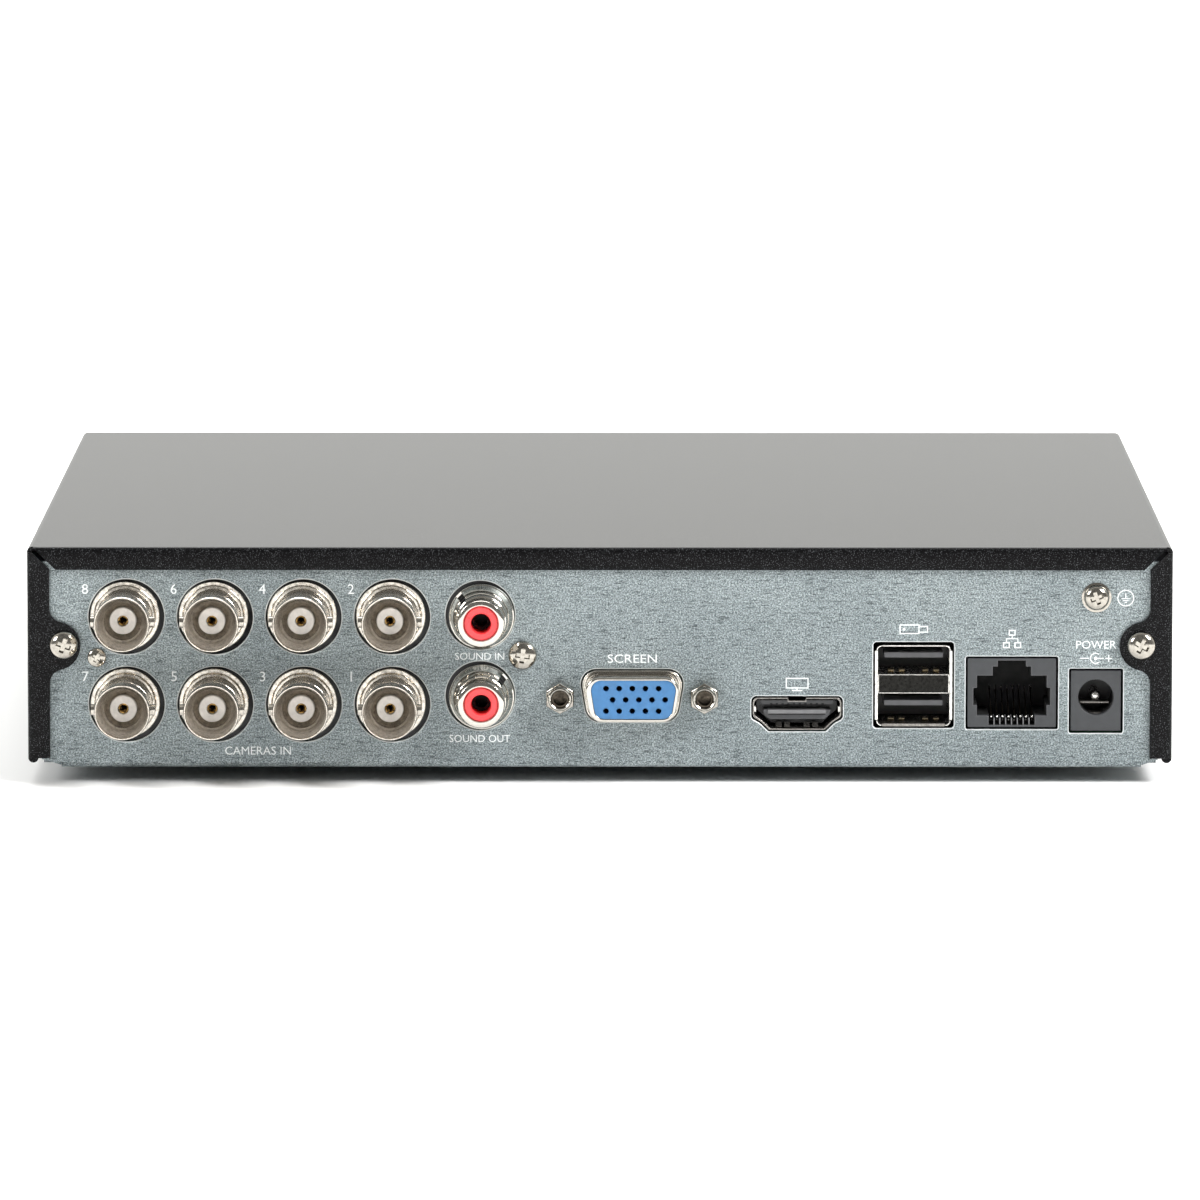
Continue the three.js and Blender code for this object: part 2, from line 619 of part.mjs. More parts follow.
function vgaShell() {
  const rear = PANEL_Y + SHEET + 9;
  const outer = prism("y", dShape(VGA.x, VGA.z, 16.4, 8, 2.4), VGA_FRONT, rear, 4);
  const collar = prism("y", dShape(VGA.x, VGA.z, 17.1, 8.7, 2.5), PANEL_Y - 0.5, PANEL_Y + 0.5, 4);
  const flange = box([VGA.x - 15, HOUSING_Y, VGA.z - 6], [VGA.x + 15, HOUSING_Y + 0.8, VGA.z + 6]);
  const bore = prism("y", dShape(VGA.x, VGA.z, 15.5, 7.1, 2.1), VGA_FRONT - 1, rear + 1, 4);
  const screwHoles = [-1, 1].map((side) =>
    rod("y", 1.7, HOUSING_Y - 1, HOUSING_Y + 2, VGA.x + (side * VGA.screwSpan) / 2, VGA.z, 12),
  );
  return cut(join(outer, collar, flange), bore, ...screwHoles);
}
add("vga_socket_shell", vgaShell(), nickel);

const PIN_ROWS = [
  { rise: 1.98, shift: -2 },
  { rise: 0, shift: -1.5 },
  { rise: -1.98, shift: -2 },
];
const PIN_PITCH = 2.29;

function vgaInsert() {
  const front = VGA_FRONT + 0.3;
  const block = prism("y", dShape(VGA.x, VGA.z, 15.1, 6.7, 1.9), front, PANEL_Y + SHEET + 12, 4);
  const pins = PIN_ROWS.flatMap((row) =>
    Array.from({ length: 5 }, (_, i) =>
      rod("y", 0.55, front - 1, front + 4, VGA.x + (i + row.shift) * PIN_PITCH, VGA.z + row.rise, 8),
    ),
  );
  return cut(block, ...pins);
}
add("vga_socket_insert", vgaInsert(), bluePlastic);

// A hexagonal standoff with a threaded mouth, screwed through the panel into the socket's flange.
function jackscrew(x) {
  const front = PANEL_Y - 5;
  const hex = solid(new THREE.CylinderGeometry(2.75, 2.75, 4.4, 6).translate(x, PANEL_Y - 2.25, VGA.z));
  const nose = rod("y", 2.2, front, PANEL_Y - 3, x, VGA.z, 16);
  const shank = rod("y", 1.35, PANEL_Y - 1, PANEL_Y + 5, x, VGA.z, 12);
  const mouth = rod("y", 1.35, front - 1, front + 3.6, x, VGA.z, 12);
  return cut(join(hex, nose, shank), mouth);
}
add("vga_jackscrew_left", jackscrew(VGA.x - VGA.screwSpan / 2), nickel);
add("vga_jackscrew_right", jackscrew(VGA.x + VGA.screwSpan / 2), nickel);

// ---------- digital video socket ----------

const DIGITAL_FRONT = PANEL_Y + 0.2;

function digitalShell() {
  const rear = DIGITAL_FRONT + 11;
  const outer = prism("y", digitalOutline(15, 5.55), DIGITAL_FRONT, rear);
  const bore = prism("y", digitalOutline(14.2, 4.75), DIGITAL_FRONT - 1, rear + 1);
  return cut(outer, bore);
}
add("digital_video_shell", digitalShell(), nickel);

function digitalTongue() {
  const rear = DIGITAL_FRONT + 10.6;
  const block = prism("y", digitalOutline(13.9, 4.45), DIGITAL_FRONT + 7, rear);
  const tongue = box(
    [DIGITAL.x - 5.5, DIGITAL_FRONT + 0.9, DIGITAL.z - 0.75],
    [DIGITAL.x + 5.5, DIGITAL_FRONT + 8, DIGITAL.z + 0.4],
  );
  return join(block, tongue);
}
add("digital_video_tongue", digitalTongue(), blackPlastic);

// ---------- double USB socket ----------

const USB_FRONT = PANEL_Y - 0.6;
const USB_PORT = { width: 12.5, height: 5, rise: 4.55 };

function usbShell() {
  const rear = USB_FRONT + 14;
  const outer = prism("y", roundedRect(USB.x, USB.z, 13.2, 14.3, 0.7), USB_FRONT, rear, 2);
  const ports = [-1, 1].map((side) => {
    const port = roundedRect(USB.x, USB.z + side * USB_PORT.rise, USB_PORT.width, USB_PORT.height, 0.3);
    return prism("y", port, USB_FRONT - 1, rear + 1, 2);
  });
  return cut(outer, ...ports);
}
add("usb_socket_shell", usbShell(), nickel);

function usbInsulator() {
  const rear = USB_FRONT + 15.5;
  const backPlate = box(
    [USB.x - 6.4, USB_FRONT + 14.1, BOARD_TOP + MATE_GAP],
    [USB.x + 6.4, rear, USB.z + 7],
  );
  const tongues = [-1, 1].map((side) => {
    const top = USB.z + side * USB_PORT.rise + 1.75;
    const tongue = box([USB.x - 5.6, USB_FRONT + 1.2, top - 1.85], [USB.x + 5.6, rear - 1, top]);
    const root = box(
      [USB.x - 6.1, USB_FRONT + 11, USB.z + side * USB_PORT.rise - 2.3],
      [USB.x + 6.1, rear - 1, USB.z + side * USB_PORT.rise + 2.3],
    );
    return join(tongue, root);
  });
  return join(backPlate, ...tongues);
}
add("usb_socket_insulator", usbInsulator(), blackPlastic);

// ---------- network socket ----------

function lanHousing() {
  const front = PANEL_Y + 0.3;
  const [x, z] = [LAN.x, LAN.z];
  const block = box([x - 7.75, front, z - 6.15], [x + 7.75, front + 18, z + 6.15]);
  const mouth = outline([
    [x - 2.15, z + 5.6],
    [x - 2.15, z + 4.6],
    [x - 3.33, z + 4.6],
    [x - 3.33, z + 3],
    [x - 6.05, z + 3],
    [x - 6.05, z + 0.85],
    [x - 6.67, z + 0.85],
    [x - 6.67, z - 2.15],
    [x - 6.05, z - 2.15],
    [x - 6.05, z - 4],
    [x - 4.05, z - 4],
    [x - 4.05, z - 5.7],
    [x + 4.05, z - 5.7],
    [x + 4.05, z - 4],
    [x + 6.05, z - 4],
    [x + 6.05, z - 2.15],
    [x + 6.67, z - 2.15],
    [x + 6.67, z + 0.85],
    [x + 6.05, z + 0.85],
    [x + 6.05, z + 3],
    [x + 3.33, z + 3],
    [x + 3.33, z + 4.6],
    [x + 2.15, z + 4.6],
    [x + 2.15, z + 5.6],
  ]);
  return cut(block, prism("y", mouth, front - 1, front + 13));
}
add("lan_socket_housing", lanHousing(), blackPlastic);

// ---------- power socket ----------

function powerHousing() {
  const front = PANEL_Y + 0.45;
  const low = BOARD_TOP + MATE_GAP;
  const block = box([POWER.x - 4.4, front, low], [POWER.x + 4.4, front + 13, POWER.z + 5.3]);
  const bore = rod("y", 3.1, front - 1, front + 9.5, POWER.x, POWER.holeZ, 24);
  const pinSeat = rod("y", 1.15, front + 8, front + 14, POWER.x, POWER.holeZ, 12);
  return cut(block, bore, pinSeat);
}
add("power_socket_housing", powerHousing(), blackPlastic);

function powerPin() {
  const tip = PANEL_Y + 1.6;
  const profile = [[0, tip], [0.6, tip + 0.15], [1, tip + 0.9], [1, tip + 12.5], [0, tip + 12.5]];
  return turned("y", profile, POWER.x, POWER.holeZ, 14);
}
add("power_socket_pin", powerPin(), nickel);

// ---------- main board, heat sink and clock battery ----------

const HEAT_SINK = { x: 30, y: -45, fins: 9, pitch: 3.2, fin: 1.1, height: 9 };
const CHIP_TOP = BOARD_TOP + 1.8;
const BATTERY = { x: -6, y: -42 };
const BATTERY_SEAT = BOARD_TOP + 1;

function mainBoard() {
  const plate = box([BOARD.left, BOARD.back, BOARD.z], [BOARD.right, BOARD.front, BOARD_TOP]);
  const { x, y } = HEAT_SINK;
  const processor = box([x - 12, y - 12, BOARD.z + 0.5], [x + 12, y + 12, CHIP_TOP]);
  const holder = rod("z", 11.5, BOARD.z + 0.5, BATTERY_SEAT, BATTERY.x, BATTERY.y, 20);
  const postHole = ([postX, postY]) => rod("z", 1.6, BOARD.z - 1, BOARD_TOP + 1, postX, postY, 12);
  return cut(join(plate, processor, holder), ...BOARD_POSTS.map(postHole));
}
add("main_board", mainBoard(), boardGreen);

function heatSink() {
  const { fins, pitch, fin, height } = HEAT_SINK;
  const low = CHIP_TOP + MATE_GAP;
  const span = (fins - 1) * pitch + fin;
  const left = HEAT_SINK.x - span / 2;
  const comb = [[left, low], [left + span, low]];
  for (let i = fins - 1; i >= 0; i--) {
    const x = left + i * pitch;
    comb.push([x + fin, low + height], [x, low + height]);
    if (i > 0) comb.push([x, low + 2], [x - pitch + fin, low + 2]);
  }
  return prism("y", outline(comb), HEAT_SINK.y - span / 2, HEAT_SINK.y + span / 2);
}
add("heat_sink", heatSink(), aluminium);

const batterySeat = BATTERY_SEAT + MATE_GAP;
add("clock_battery", rod("z", 10, batterySeat, batterySeat + 3.2, BATTERY.x, BATTERY.y, 24), steel);

// ---------- hard drive ----------

const driveLeft = DRIVE.x - DRIVE.length / 2;
const driveLow = DRIVE.y - DRIVE.width / 2;
const driveHigh = DRIVE.y + DRIVE.width / 2;
const lidZ = DRIVE.z + DRIVE.height - 1;
const BASE_FLOOR = 13;

function driveBase() {
  const casting = roundedRect(DRIVE.x, DRIVE.y, DRIVE.length, DRIVE.width, 3);
  const block = prism("z", casting, DRIVE.z, lidZ - MATE_GAP, 2);
  const recess = box(
    [DRIVE.x - 44, driveLow + 4, DRIVE.z - 1],
    [DRIVE.x + 54, driveHigh - 6, DRIVE.z + 1.8],
  );
  const discWell = rod("z", PLATTER_RADIUS + 1.2, BASE_FLOOR, lidZ + 1, SPINDLE.x, SPINDLE.y, 36);
  const armWell = box([driveLeft + 12, driveLow + 6, BASE_FLOOR], [SPINDLE.x - 20, driveHigh - 6, lidZ + 1]);
  return cut(block, recess, discWell, armWell);
}
add("hdd_base", driveBase(), aluminium);
const lidOutline = roundedRect(DRIVE.x, DRIVE.y, DRIVE.length - 4, DRIVE.width - 3, 4);
add("hdd_lid", prism("z", lidOutline, lidZ, lidZ + 1, 3), steel);
add(
  "hdd_circuit_board",
  box([DRIVE.x - 42, driveLow + 6, DRIVE.z + 0.1], [DRIVE.x + 52, driveHigh - 8, DRIVE.z + 1.7]),
  boardGreen,
);

const HUB_RADIUS = 12.3;
const CLAMP_RADIUS = 15;
const PLATTER_TOP = PLATTER_Z + 1.27;

function platter() {
  const bore = HUB_RADIUS + FIT_GAP;
  const profile = [
    [bore, PLATTER_Z],
    [PLATTER_RADIUS, PLATTER_Z],
    [PLATTER_RADIUS, PLATTER_TOP],
    [bore, PLATTER_TOP],
  ];
  return turned("z", profile, SPINDLE.x, SPINDLE.y, 40);
}
add("hdd_platter", platter(), mirrorDisc);

// The hub carries the disc on its lower flange and clamps it from above.
function spindleHub() {
  const profile = [
    [0, BASE_FLOOR + 0.4],
    [CLAMP_RADIUS, BASE_FLOOR + 0.4],
    [CLAMP_RADIUS, PLATTER_Z - MATE_GAP],
    [HUB_RADIUS, PLATTER_Z - MATE_GAP],
    [HUB_RADIUS, PLATTER_TOP + MATE_GAP],
    [CLAMP_RADIUS, PLATTER_TOP + MATE_GAP],
    [CLAMP_RADIUS, PLATTER_Z + 3.2],
    [0, PLATTER_Z + 3.2],
  ];
  return turned("z", profile, SPINDLE.x, SPINDLE.y, 24);
}
add("hdd_spindle_hub", spindleHub(), aluminium);

// The arm is drawn along +X from its pivot, then turned to where it parks beside the disc.
function actuatorArm() {
  const armZ = PLATTER_Z + 1.9;
  const taper = ARM_LENGTH - 6;
  const beamOutline = [[-2, -5], [taper, -1.6], [ARM_LENGTH, -0.8], [ARM_LENGTH, 0.8], [taper, 1.6], [-2, 5]];
  const beam = prism("z", outline(beamOutline), armZ, armZ + 1.2);
  const coil = prism("z", outline([[-20, -12], [-2, -5], [-2, 5], [-20, 12]]), armZ, armZ + 2);
  const pivot = rod("z", 6.5, BASE_FLOOR + 0.4, armZ + 4, 0, 0, 20);
  const arm = join(beam, coil, pivot);
  const turn = THREE.MathUtils.radToDeg(ARM_PARK_ANGLE);
  return arm.rotate([0, 0, turn]).translate([ARM_PIVOT.x, ARM_PIVOT.y, 0]);
}
add("hdd_actuator_arm", actuatorArm(), aluminium);

function magnetYoke() {
  const shape = new THREE.Shape();
  const centre = ARM_PARK_ANGLE + Math.PI;
  shape.absarc(ARM_PIVOT.x, ARM_PIVOT.y, 21, centre - 0.7, centre + 1.0);
  shape.absarc(ARM_PIVOT.x, ARM_PIVOT.y, 9, centre + 1.0, centre - 0.7, true);
  shape.closePath();
  return prism("z", shape, BASE_FLOOR + 0.1, PLATTER_Z + 1, 8);
}
add("hdd_magnet_yoke", magnetYoke(), nickel);

// ---------- drive leads, each a flat ribbon with a moulded plug at both ends ----------

// Runs +Y from the main board, bends through a quarter turn and enters the drive along +X.
function driveLead(startX, endY, bend, thick, low, high) {
  const [startY, endX] = [BOARD.front - 6, driveLeft - 0.4];
  const [inner, outer] = [bend - thick / 2, bend + thick / 2];
  const centre = [startX + bend, endY - bend];
  const strip = new THREE.Shape();
  strip.moveTo(startX - thick / 2, startY);
  strip.absarc(centre[0], centre[1], outer, Math.PI, Math.PI / 2, true);
  strip.lineTo(endX, endY + thick / 2);
  strip.absarc(centre[0], centre[1], inner, Math.PI / 2, Math.PI);
  strip.lineTo(startX + thick / 2, startY);
  strip.closePath();
  const ribbon = prism("z", strip, low, high, 6);
  const middle = (low + high) / 2;
  const boardPlug = box([startX - 3, startY - 4, middle - 4], [startX + 3, startY + 5, middle + 4]);
  const drivePlug = box([endX - 5, endY - 3, middle - 4.5], [endX, endY + 3, middle + 4.5]);
  return join(ribbon, boardPlug, drivePlug);
}
add("drive_data_lead", driveLead(-74, 6, 7, 1.5, 10.5, 17), cableRed);
add("drive_power_lead", driveLead(-84, 22, 8, 2.2, 10, 18), cableBlack);

export default group;
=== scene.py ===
"""The recorder's looks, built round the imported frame: detailed pieces for what shows, materials for the rest.

Blender 4.5. Helpers take millimetres in the row frame and store metres. Stations called "out" run from the
connector panel's face towards the camera, along -Y.
"""

import math

import bmesh
import bpy
from mathutils import Matrix, Vector


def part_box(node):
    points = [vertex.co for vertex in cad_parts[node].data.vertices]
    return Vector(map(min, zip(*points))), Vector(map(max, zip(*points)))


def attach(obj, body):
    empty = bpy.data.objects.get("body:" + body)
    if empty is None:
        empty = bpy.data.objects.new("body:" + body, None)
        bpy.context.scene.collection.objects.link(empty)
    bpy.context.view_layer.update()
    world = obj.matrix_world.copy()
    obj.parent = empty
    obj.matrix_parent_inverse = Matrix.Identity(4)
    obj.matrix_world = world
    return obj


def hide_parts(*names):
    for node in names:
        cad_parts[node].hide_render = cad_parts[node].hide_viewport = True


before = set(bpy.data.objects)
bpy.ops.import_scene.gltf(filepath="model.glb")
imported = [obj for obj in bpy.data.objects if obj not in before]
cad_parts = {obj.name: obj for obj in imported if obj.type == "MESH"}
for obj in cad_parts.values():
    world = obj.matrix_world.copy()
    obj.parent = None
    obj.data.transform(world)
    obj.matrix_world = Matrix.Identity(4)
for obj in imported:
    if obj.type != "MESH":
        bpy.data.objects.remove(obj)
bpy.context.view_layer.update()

MM = 0.001


def box_mm(node):
    low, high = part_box(node)
    return low / MM, high / MM


def centre_xz(node):
    low, high = box_mm(node)
    return (low.x + high.x) / 2, (low.z + high.z) / 2


# ---------- driving dimensions, read from the frame ----------

SHEET = 0.8
TRAY_LOW, TRAY_HIGH = box_mm("chassis_tray")
COVER_LOW, COVER_HIGH = box_mm("top_cover")
PANEL_Y = TRAY_LOW.y
FLANGE_Y = COVER_LOW.y
BOARD_TOP = box_mm("video_socket_housing")[0].z - 0.05

VIDEO_SOCKETS = {n: centre_xz(f"video_socket_shell_{n}") for n in range(1, 9)}
AUDIO_SOCKETS = {"in": centre_xz("audio_in_shell"), "out": centre_xz("audio_out_shell")}
VGA_X, VGA_Z = centre_xz("vga_socket_insert")
JACKSCREWS = {side: centre_xz(f"vga_jackscrew_{side}") for side in ("left", "right")}
DIGITAL_X, DIGITAL_Z = centre_xz("digital_video_shell")
USB_X, USB_Z = centre_xz("usb_socket_shell")
LAN_X, LAN_Z = centre_xz("lan_socket_housing")
POWER_X, POWER_HOLE_Z = centre_xz("power_socket_pin")
POWER_Z = 14.5


# ---------- mesh helpers ----------


def finish_mesh(bm, name, angle=32):
    """The bmesh, in millimetres, as a mesh in metres with smooth faces and sharp creases."""
    bmesh.ops.scale(bm, vec=(MM, MM, MM), verts=bm.verts)
    bmesh.ops.recalc_face_normals(bm, faces=bm.faces)
    mesh = bpy.data.meshes.new(name)
    bm.to_mesh(mesh)
    bm.free()
    mesh.shade_smooth()
    mesh.set_sharp_from_angle(angle=math.radians(angle))
    return mesh


def link(data, name):
    """A new object in the scene that holds a mesh, a text curve, a light or a camera."""
    obj = bpy.data.objects.new(name, data)
    bpy.context.scene.collection.objects.link(obj)
    return obj


def discard(obj):
    mesh = obj.data
    bpy.data.objects.remove(obj)
    bpy.data.meshes.remove(mesh)


def taken_back(obj):
    """The object's evaluated mesh as a bmesh in millimetres; the object is removed."""
    result = bmesh.new()
    result.from_mesh(obj.evaluated_get(bpy.context.evaluated_depsgraph_get()).to_mesh())
    bmesh.ops.scale(result, vec=(1 / MM, 1 / MM, 1 / MM), verts=result.verts)
    discard(obj)
    return result


def soften(obj, width):
    """Rounds the object's sharp edges by width, in millimetres."""
    bevel = obj.modifiers.new("soft_edges", "BEVEL")
    bevel.width = width * MM
    bevel.segments = 2
    bevel.limit_method = "ANGLE"
    bevel.angle_limit = math.radians(40)
    bevel.harden_normals = True


def show(bm, name, material, slot, body="chassis", replaces=(), soft=0.0, angle=32, rim=None):
    """Turns the bmesh into a piece that rides on a body, wears a material and may stand for CAD nodes."""
    obj = link(finish_mesh(bm, name, angle), name)
    obj.data.materials.append(material)
    if rim:
        obj.data.materials.append(rim)
    if soft:
        soften(obj, soft)
    else:
        level = obj.modifiers.new("level_faces", "WEIGHTED_NORMAL")
        level.keep_sharp = True
        level.weight = 90
    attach(obj, body)
    if replaces:
        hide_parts(*replaces)


def carve(bm, *cutters):
    """The first bmesh with each cutter's solid taken out of it."""
    target = link(finish_mesh(bm, "carve_target"), "carve_target")
    tools = [link(finish_mesh(cutter, "carve_tool"), "carve_tool") for cutter in cutters]
    for tool in tools:
        boolean = target.modifiers.new("cut", "BOOLEAN")
        boolean.operation = "DIFFERENCE"
        boolean.solver = "EXACT"
        boolean.object = tool
    result = taken_back(target)
    for tool in tools:
        discard(tool)
    return result


def add_lathe(bm, profile, x, z, segments):
    """A closed (radius, out) profile turned about the line through (x, z) along Y."""
    rings = []
    for radius, out in profile:
        y = PANEL_Y - out
        if radius < 1e-6:
            rings.append([bm.verts.new((x, y, z))])
            continue
        turns = [2 * math.pi * i / segments for i in range(segments)]
        rings.append([bm.verts.new((x + radius * math.cos(t), y, z + radius * math.sin(t))) for t in turns])
    for a, b in zip(rings, rings[1:] + rings[:1]):
        for i in range(segments):
            j = (i + 1) % segments
            corners = [a[i % len(a)], a[j % len(a)], b[j % len(b)], b[i % len(b)]]
            unique = list(dict.fromkeys(corners))
            if len(unique) > 2:
                bm.faces.new(unique)
    return bm


def add_upright(bm, profile, x, y, z, segments=32):
    """A turned shape standing at (x, y, z), from a (radius, height) profile."""
    start = len(bm.verts)
    add_lathe(bm, profile, 0, 0, segments)
    bm.verts.ensure_lookup_table()
    for vert in bm.verts[start:]:
        a, b, c = vert.co
        vert.co = (x + a, y + c, z + PANEL_Y - b)


def to_axis(axis, a, b, station):
    """The point (a, b) of an outline, at a station along the axis it is pushed along."""
    if axis == "x":
        return Vector((station, a, b))
    if axis == "y":
        return Vector((a, station, b))
    return Vector((a, b, station))


def turned(x, out, z, degrees):
    """A place at a station on the panel, turned about Y."""
    return Matrix.Translation((x, PANEL_Y - out, z)) @ Matrix.Rotation(math.radians(degrees), 4, "Y")


def add_prism(bm, axis, outline, start, end, holes=()):
    """An outline with holes, pushed along an axis: X takes (y, z), Y takes (x, z) and Z takes (x, y)."""
    edges = []
    for loop in [outline, *holes]:
        verts = [bm.verts.new(to_axis(axis, a, b, start)) for a, b in loop]
        edges += [bm.edges.new((verts[i - 1], verts[i])) for i in range(len(verts))]
    filled = bmesh.ops.triangle_fill(bm, use_beauty=True, use_dissolve=not holes, edges=edges)
    faces = [g for g in filled["geom"] if isinstance(g, bmesh.types.BMFace)]
    pushed = bmesh.ops.extrude_face_region(bm, geom=faces)["geom"]
    moved = [g for g in pushed if isinstance(g, bmesh.types.BMVert)]
    shift = to_axis(axis, 0, 0, end - start)
    bmesh.ops.translate(bm, vec=shift, verts=moved)
    return bm


def grown(points, distance):
    """The closed outline moved outwards by a distance."""
    pairs = list(zip(points, points[1:] + points[:1]))
    area = sum(ax * bz - bx * az for (ax, az), (bx, bz) in pairs)
    reach = distance if area > 0 else -distance
    result = []
    for before, here, after in zip(points[-1:] + points[:-1], points, points[1:] + points[:1]):
        ahead = (Vector(here) - Vector(before)).normalized()
        onward = (Vector(after) - Vector(here)).normalized()
        mitre = Vector((ahead.y + onward.y, -ahead.x - onward.x))
        moved = Vector(here) + mitre * reach * 2 / mitre.length_squared
        result.append((moved.x, moved.y))
    return result


def add_plate(bm, axis, outline, start, end, holes=(), edge=0.0, hole_edge=0.0, steps=3):
    """A prism whose rims are rounded at its start; the rims of its holes take the second material."""
    way = 1 if end > start else -1
    caps = ([], [])
    loops = [(outline, -1, edge)] + [(hole, 1, hole_edge or edge) for hole in holes]
    for points, sign, radius in loops:
        turns = [math.pi / 2 * k / steps for k in range(steps + 1)] if radius else [math.pi / 2]
        bend = [(radius * (1 - math.sin(t)), radius * (1 - math.cos(t))) for t in turns]
        stations = [(sign * growth, start + way * depth) for growth, depth in bend] + [(0, end)]
        rings = []
        for growth, station in stations:
            moved = grown(points, growth) if growth else points
            rings.append([bm.verts.new(to_axis(axis, a, b, station)) for a, b in moved])
        for k, (a, b) in enumerate(zip(rings, rings[1:])):
            for i in range(len(a)):
                face = bm.faces.new((a[i - 1], a[i], b[i], b[i - 1]))
                face.material_index = 1 if sign == 1 and k < steps else 0
        for cap, ring in zip(caps, (rings[0], rings[-1])):
            cap.extend(bm.edges.get((ring[i - 1], ring[i])) for i in range(len(ring)))
    for cap in caps:
        bmesh.ops.triangle_fill(bm, use_beauty=True, edges=cap)
    return bm


def add_cuboid(bm, matrix, size):
    """A box of the given size, centred on the matrix's place and turned with it."""
    bmesh.ops.create_cube(bm, size=1, matrix=matrix @ Matrix.Diagonal((*size, 1)))
    return bm


def add_box(bm, low, high):
    low, high = Vector(low), Vector(high)
    return add_cuboid(bm, Matrix.Translation((low + high) / 2), high - low)


def add_block(bm, place, across, along, up):
    """A box round a place, from its two ends along X, Y and Z."""
    ends = [[value + shift for value in pair] for shift, pair in zip(place, (across, along, up))]
    return add_box(bm, *zip(*ends))


def add_cone(bm, matrix, radii, depth, segments):
    """A cylinder or a cut-off cone along the matrix's Z axis."""
    sizes = {"radius1": radii[0], "radius2": radii[1], "depth": depth}
    bmesh.ops.create_cone(bm, cap_ends=True, segments=segments, **sizes, matrix=matrix)


def add_tube(bm, rings):
    """Faces between neighbouring rings of vertices, and over both ends."""
    for a, b in zip(rings, rings[1:]):
        for i in range(len(a)):
            bm.faces.new((a[i - 1], a[i], b[i], b[i - 1]))
    bm.faces.new(rings[0][::-1])
    bm.faces.new(rings[-1])
    return bm


def add_sheet(bm, rows):
    """Faces between neighbouring rows of points; gives the rows of vertices."""
    rows = [[bm.verts.new(point) for point in row] for row in rows]
    for a, b in zip(rows, rows[1:]):
        for i in range(len(a) - 1):
            bm.faces.new((a[i], a[i + 1], b[i + 1], b[i]))
    return rows


def add_wire(bm, points, radius):
    """A round wire through the points."""
    points = [Vector(p) for p in points]
    rings = []
    for i, point in enumerate(points):
        ahead = points[min(i + 1, len(points) - 1)] - points[max(i - 1, 0)]
        turn = ahead.to_track_quat("Z", "Y").to_matrix()
        rings.append([bm.verts.new(point + turn @ Vector((a, b, 0))) for a, b in circle(0, 0, radius, 10)])
    return add_tube(bm, rings)


def add_strip(bm, points, thickness, x_from, x_to):
    """A bent leaf of metal: (y, z) points with a thickness, between two X stations."""
    middle = [Vector((0, y, z)) for y, z in points]
    rings = []
    for i, point in enumerate(middle):
        along = middle[min(i + 1, len(middle) - 1)] - middle[max(i - 1, 0)]
        lift = Vector((0, -along.z, along.y)).normalized() * thickness / 2
        corners = ((x_from, lift), (x_from, -lift), (x_to, -lift), (x_to, lift))
        rings.append([bm.verts.new(point + side + Vector((x, 0, 0))) for x, side in corners])
    return add_tube(bm, rings)


# ---------- outlines ----------


def arc(cx, cz, radius, start_deg, end_deg, steps):
    turns = [math.radians(start_deg + (end_deg - start_deg) * i / steps) for i in range(steps + 1)]
    return [(cx + radius * math.cos(t), cz + radius * math.sin(t)) for t in turns]


def circle(cx, cz, radius, steps):
    return arc(cx, cz, radius, 0, 360, steps)[:-1]


def star(cx, cz, outer, inner):
    """A star with six points, from its two radii."""
    turns = [(math.radians(30 * k), inner if k % 2 else outer) for k in range(12)]
    return [(cx + radius * math.cos(t), cz + radius * math.sin(t)) for t, radius in turns]


def span(middle, half):
    return (middle - half, middle + half)


def placed(points, x, z):
    return [(x + a, z + b) for a, b in points]


def mirrored(half):
    """A half outline and its mirror image."""
    return half + [(-x, z) for x, z in reversed(half)]


def vent_slots(height, first, pitch, count, width, length):
    """A row of upright slots with round ends."""
    radius = width / 2 - 0.01
    return [rounded_rect(first + i * pitch, height, width, length, radius) for i in range(count)]


def round_corners(cx, cz, corners, radius, steps):
    """An outline of arcs, from each corner's (x, z, first degree, last degree)."""
    outline = []
    for x, z, first, last in corners:
        outline += arc(cx + x, cz + z, radius, first, last, steps)
    return outline


def rounded_rect(cx, cz, width, height, radius, steps=5):
    x, z = width / 2 - radius, height / 2 - radius
    corners = ((x, z, 0, 90), (-x, z, 90, 180), (-x, -z, 180, 270), (x, -z, 270, 360))
    return round_corners(cx, cz, corners, radius, steps)


def d_outline(cx, cz, width, height, radius):
    """A D-shaped socket's outline, wide at the top."""
    slant = 10
    x, z = width / 2 - radius, height / 2 - radius
    low_x = x - math.tan(math.radians(slant)) * z * 2
    corners = [(x, z, -slant, 90), (-x, z, 90, 180 + slant)]
    corners += [(-low_x, -z, 180 + slant, 270), (low_x, -z, 270, 360 - slant)]
    return round_corners(cx, cz, corners, radius, 8)


def digital_outline(grow=0.0):
    """The digital video socket's opening: rounded top corners and lower corners cut back."""
    half, top, low = 8.0 + grow, 3.1 + grow, -3.1 - grow
    right = [(5.0 + grow * 0.6, low), (6.5 + grow * 0.8, low + 1.45 + grow * 0.2)]
    right += arc(half - 0.9, low + 2.8, 0.9, -62, 0, 5) + arc(half - 0.9, top - 0.9, 0.9, 0, 90, 6)
    return placed(mirrored(right), DIGITAL_X, DIGITAL_Z)


# ---------- materials ----------


def blank(name):
    material = bpy.data.materials.new(name)
    material.use_nodes = True
    tree = material.node_tree
    shader = tree.nodes["Principled BSDF"]
    return material, tree, shader


def node(tree, kind, **values):
    made = tree.nodes.new(kind)
    for key, value in values.items():
        if key in made.inputs.keys():
            made.inputs[key].default_value = value
        else:
            setattr(made, key, value)
    return made


def object_coordinates(tree, scale=(1, 1, 1)):
    """Object coordinates in millimetres, stretched by scale."""
    source = node(tree, "ShaderNodeTexCoord")
    mapping = node(tree, "ShaderNodeMapping")
    mapping.inputs["Scale"].default_value = [s / MM for s in scale]
    tree.links.new(source.outputs["Object"], mapping.inputs["Vector"])
    return mapping.outputs["Vector"]


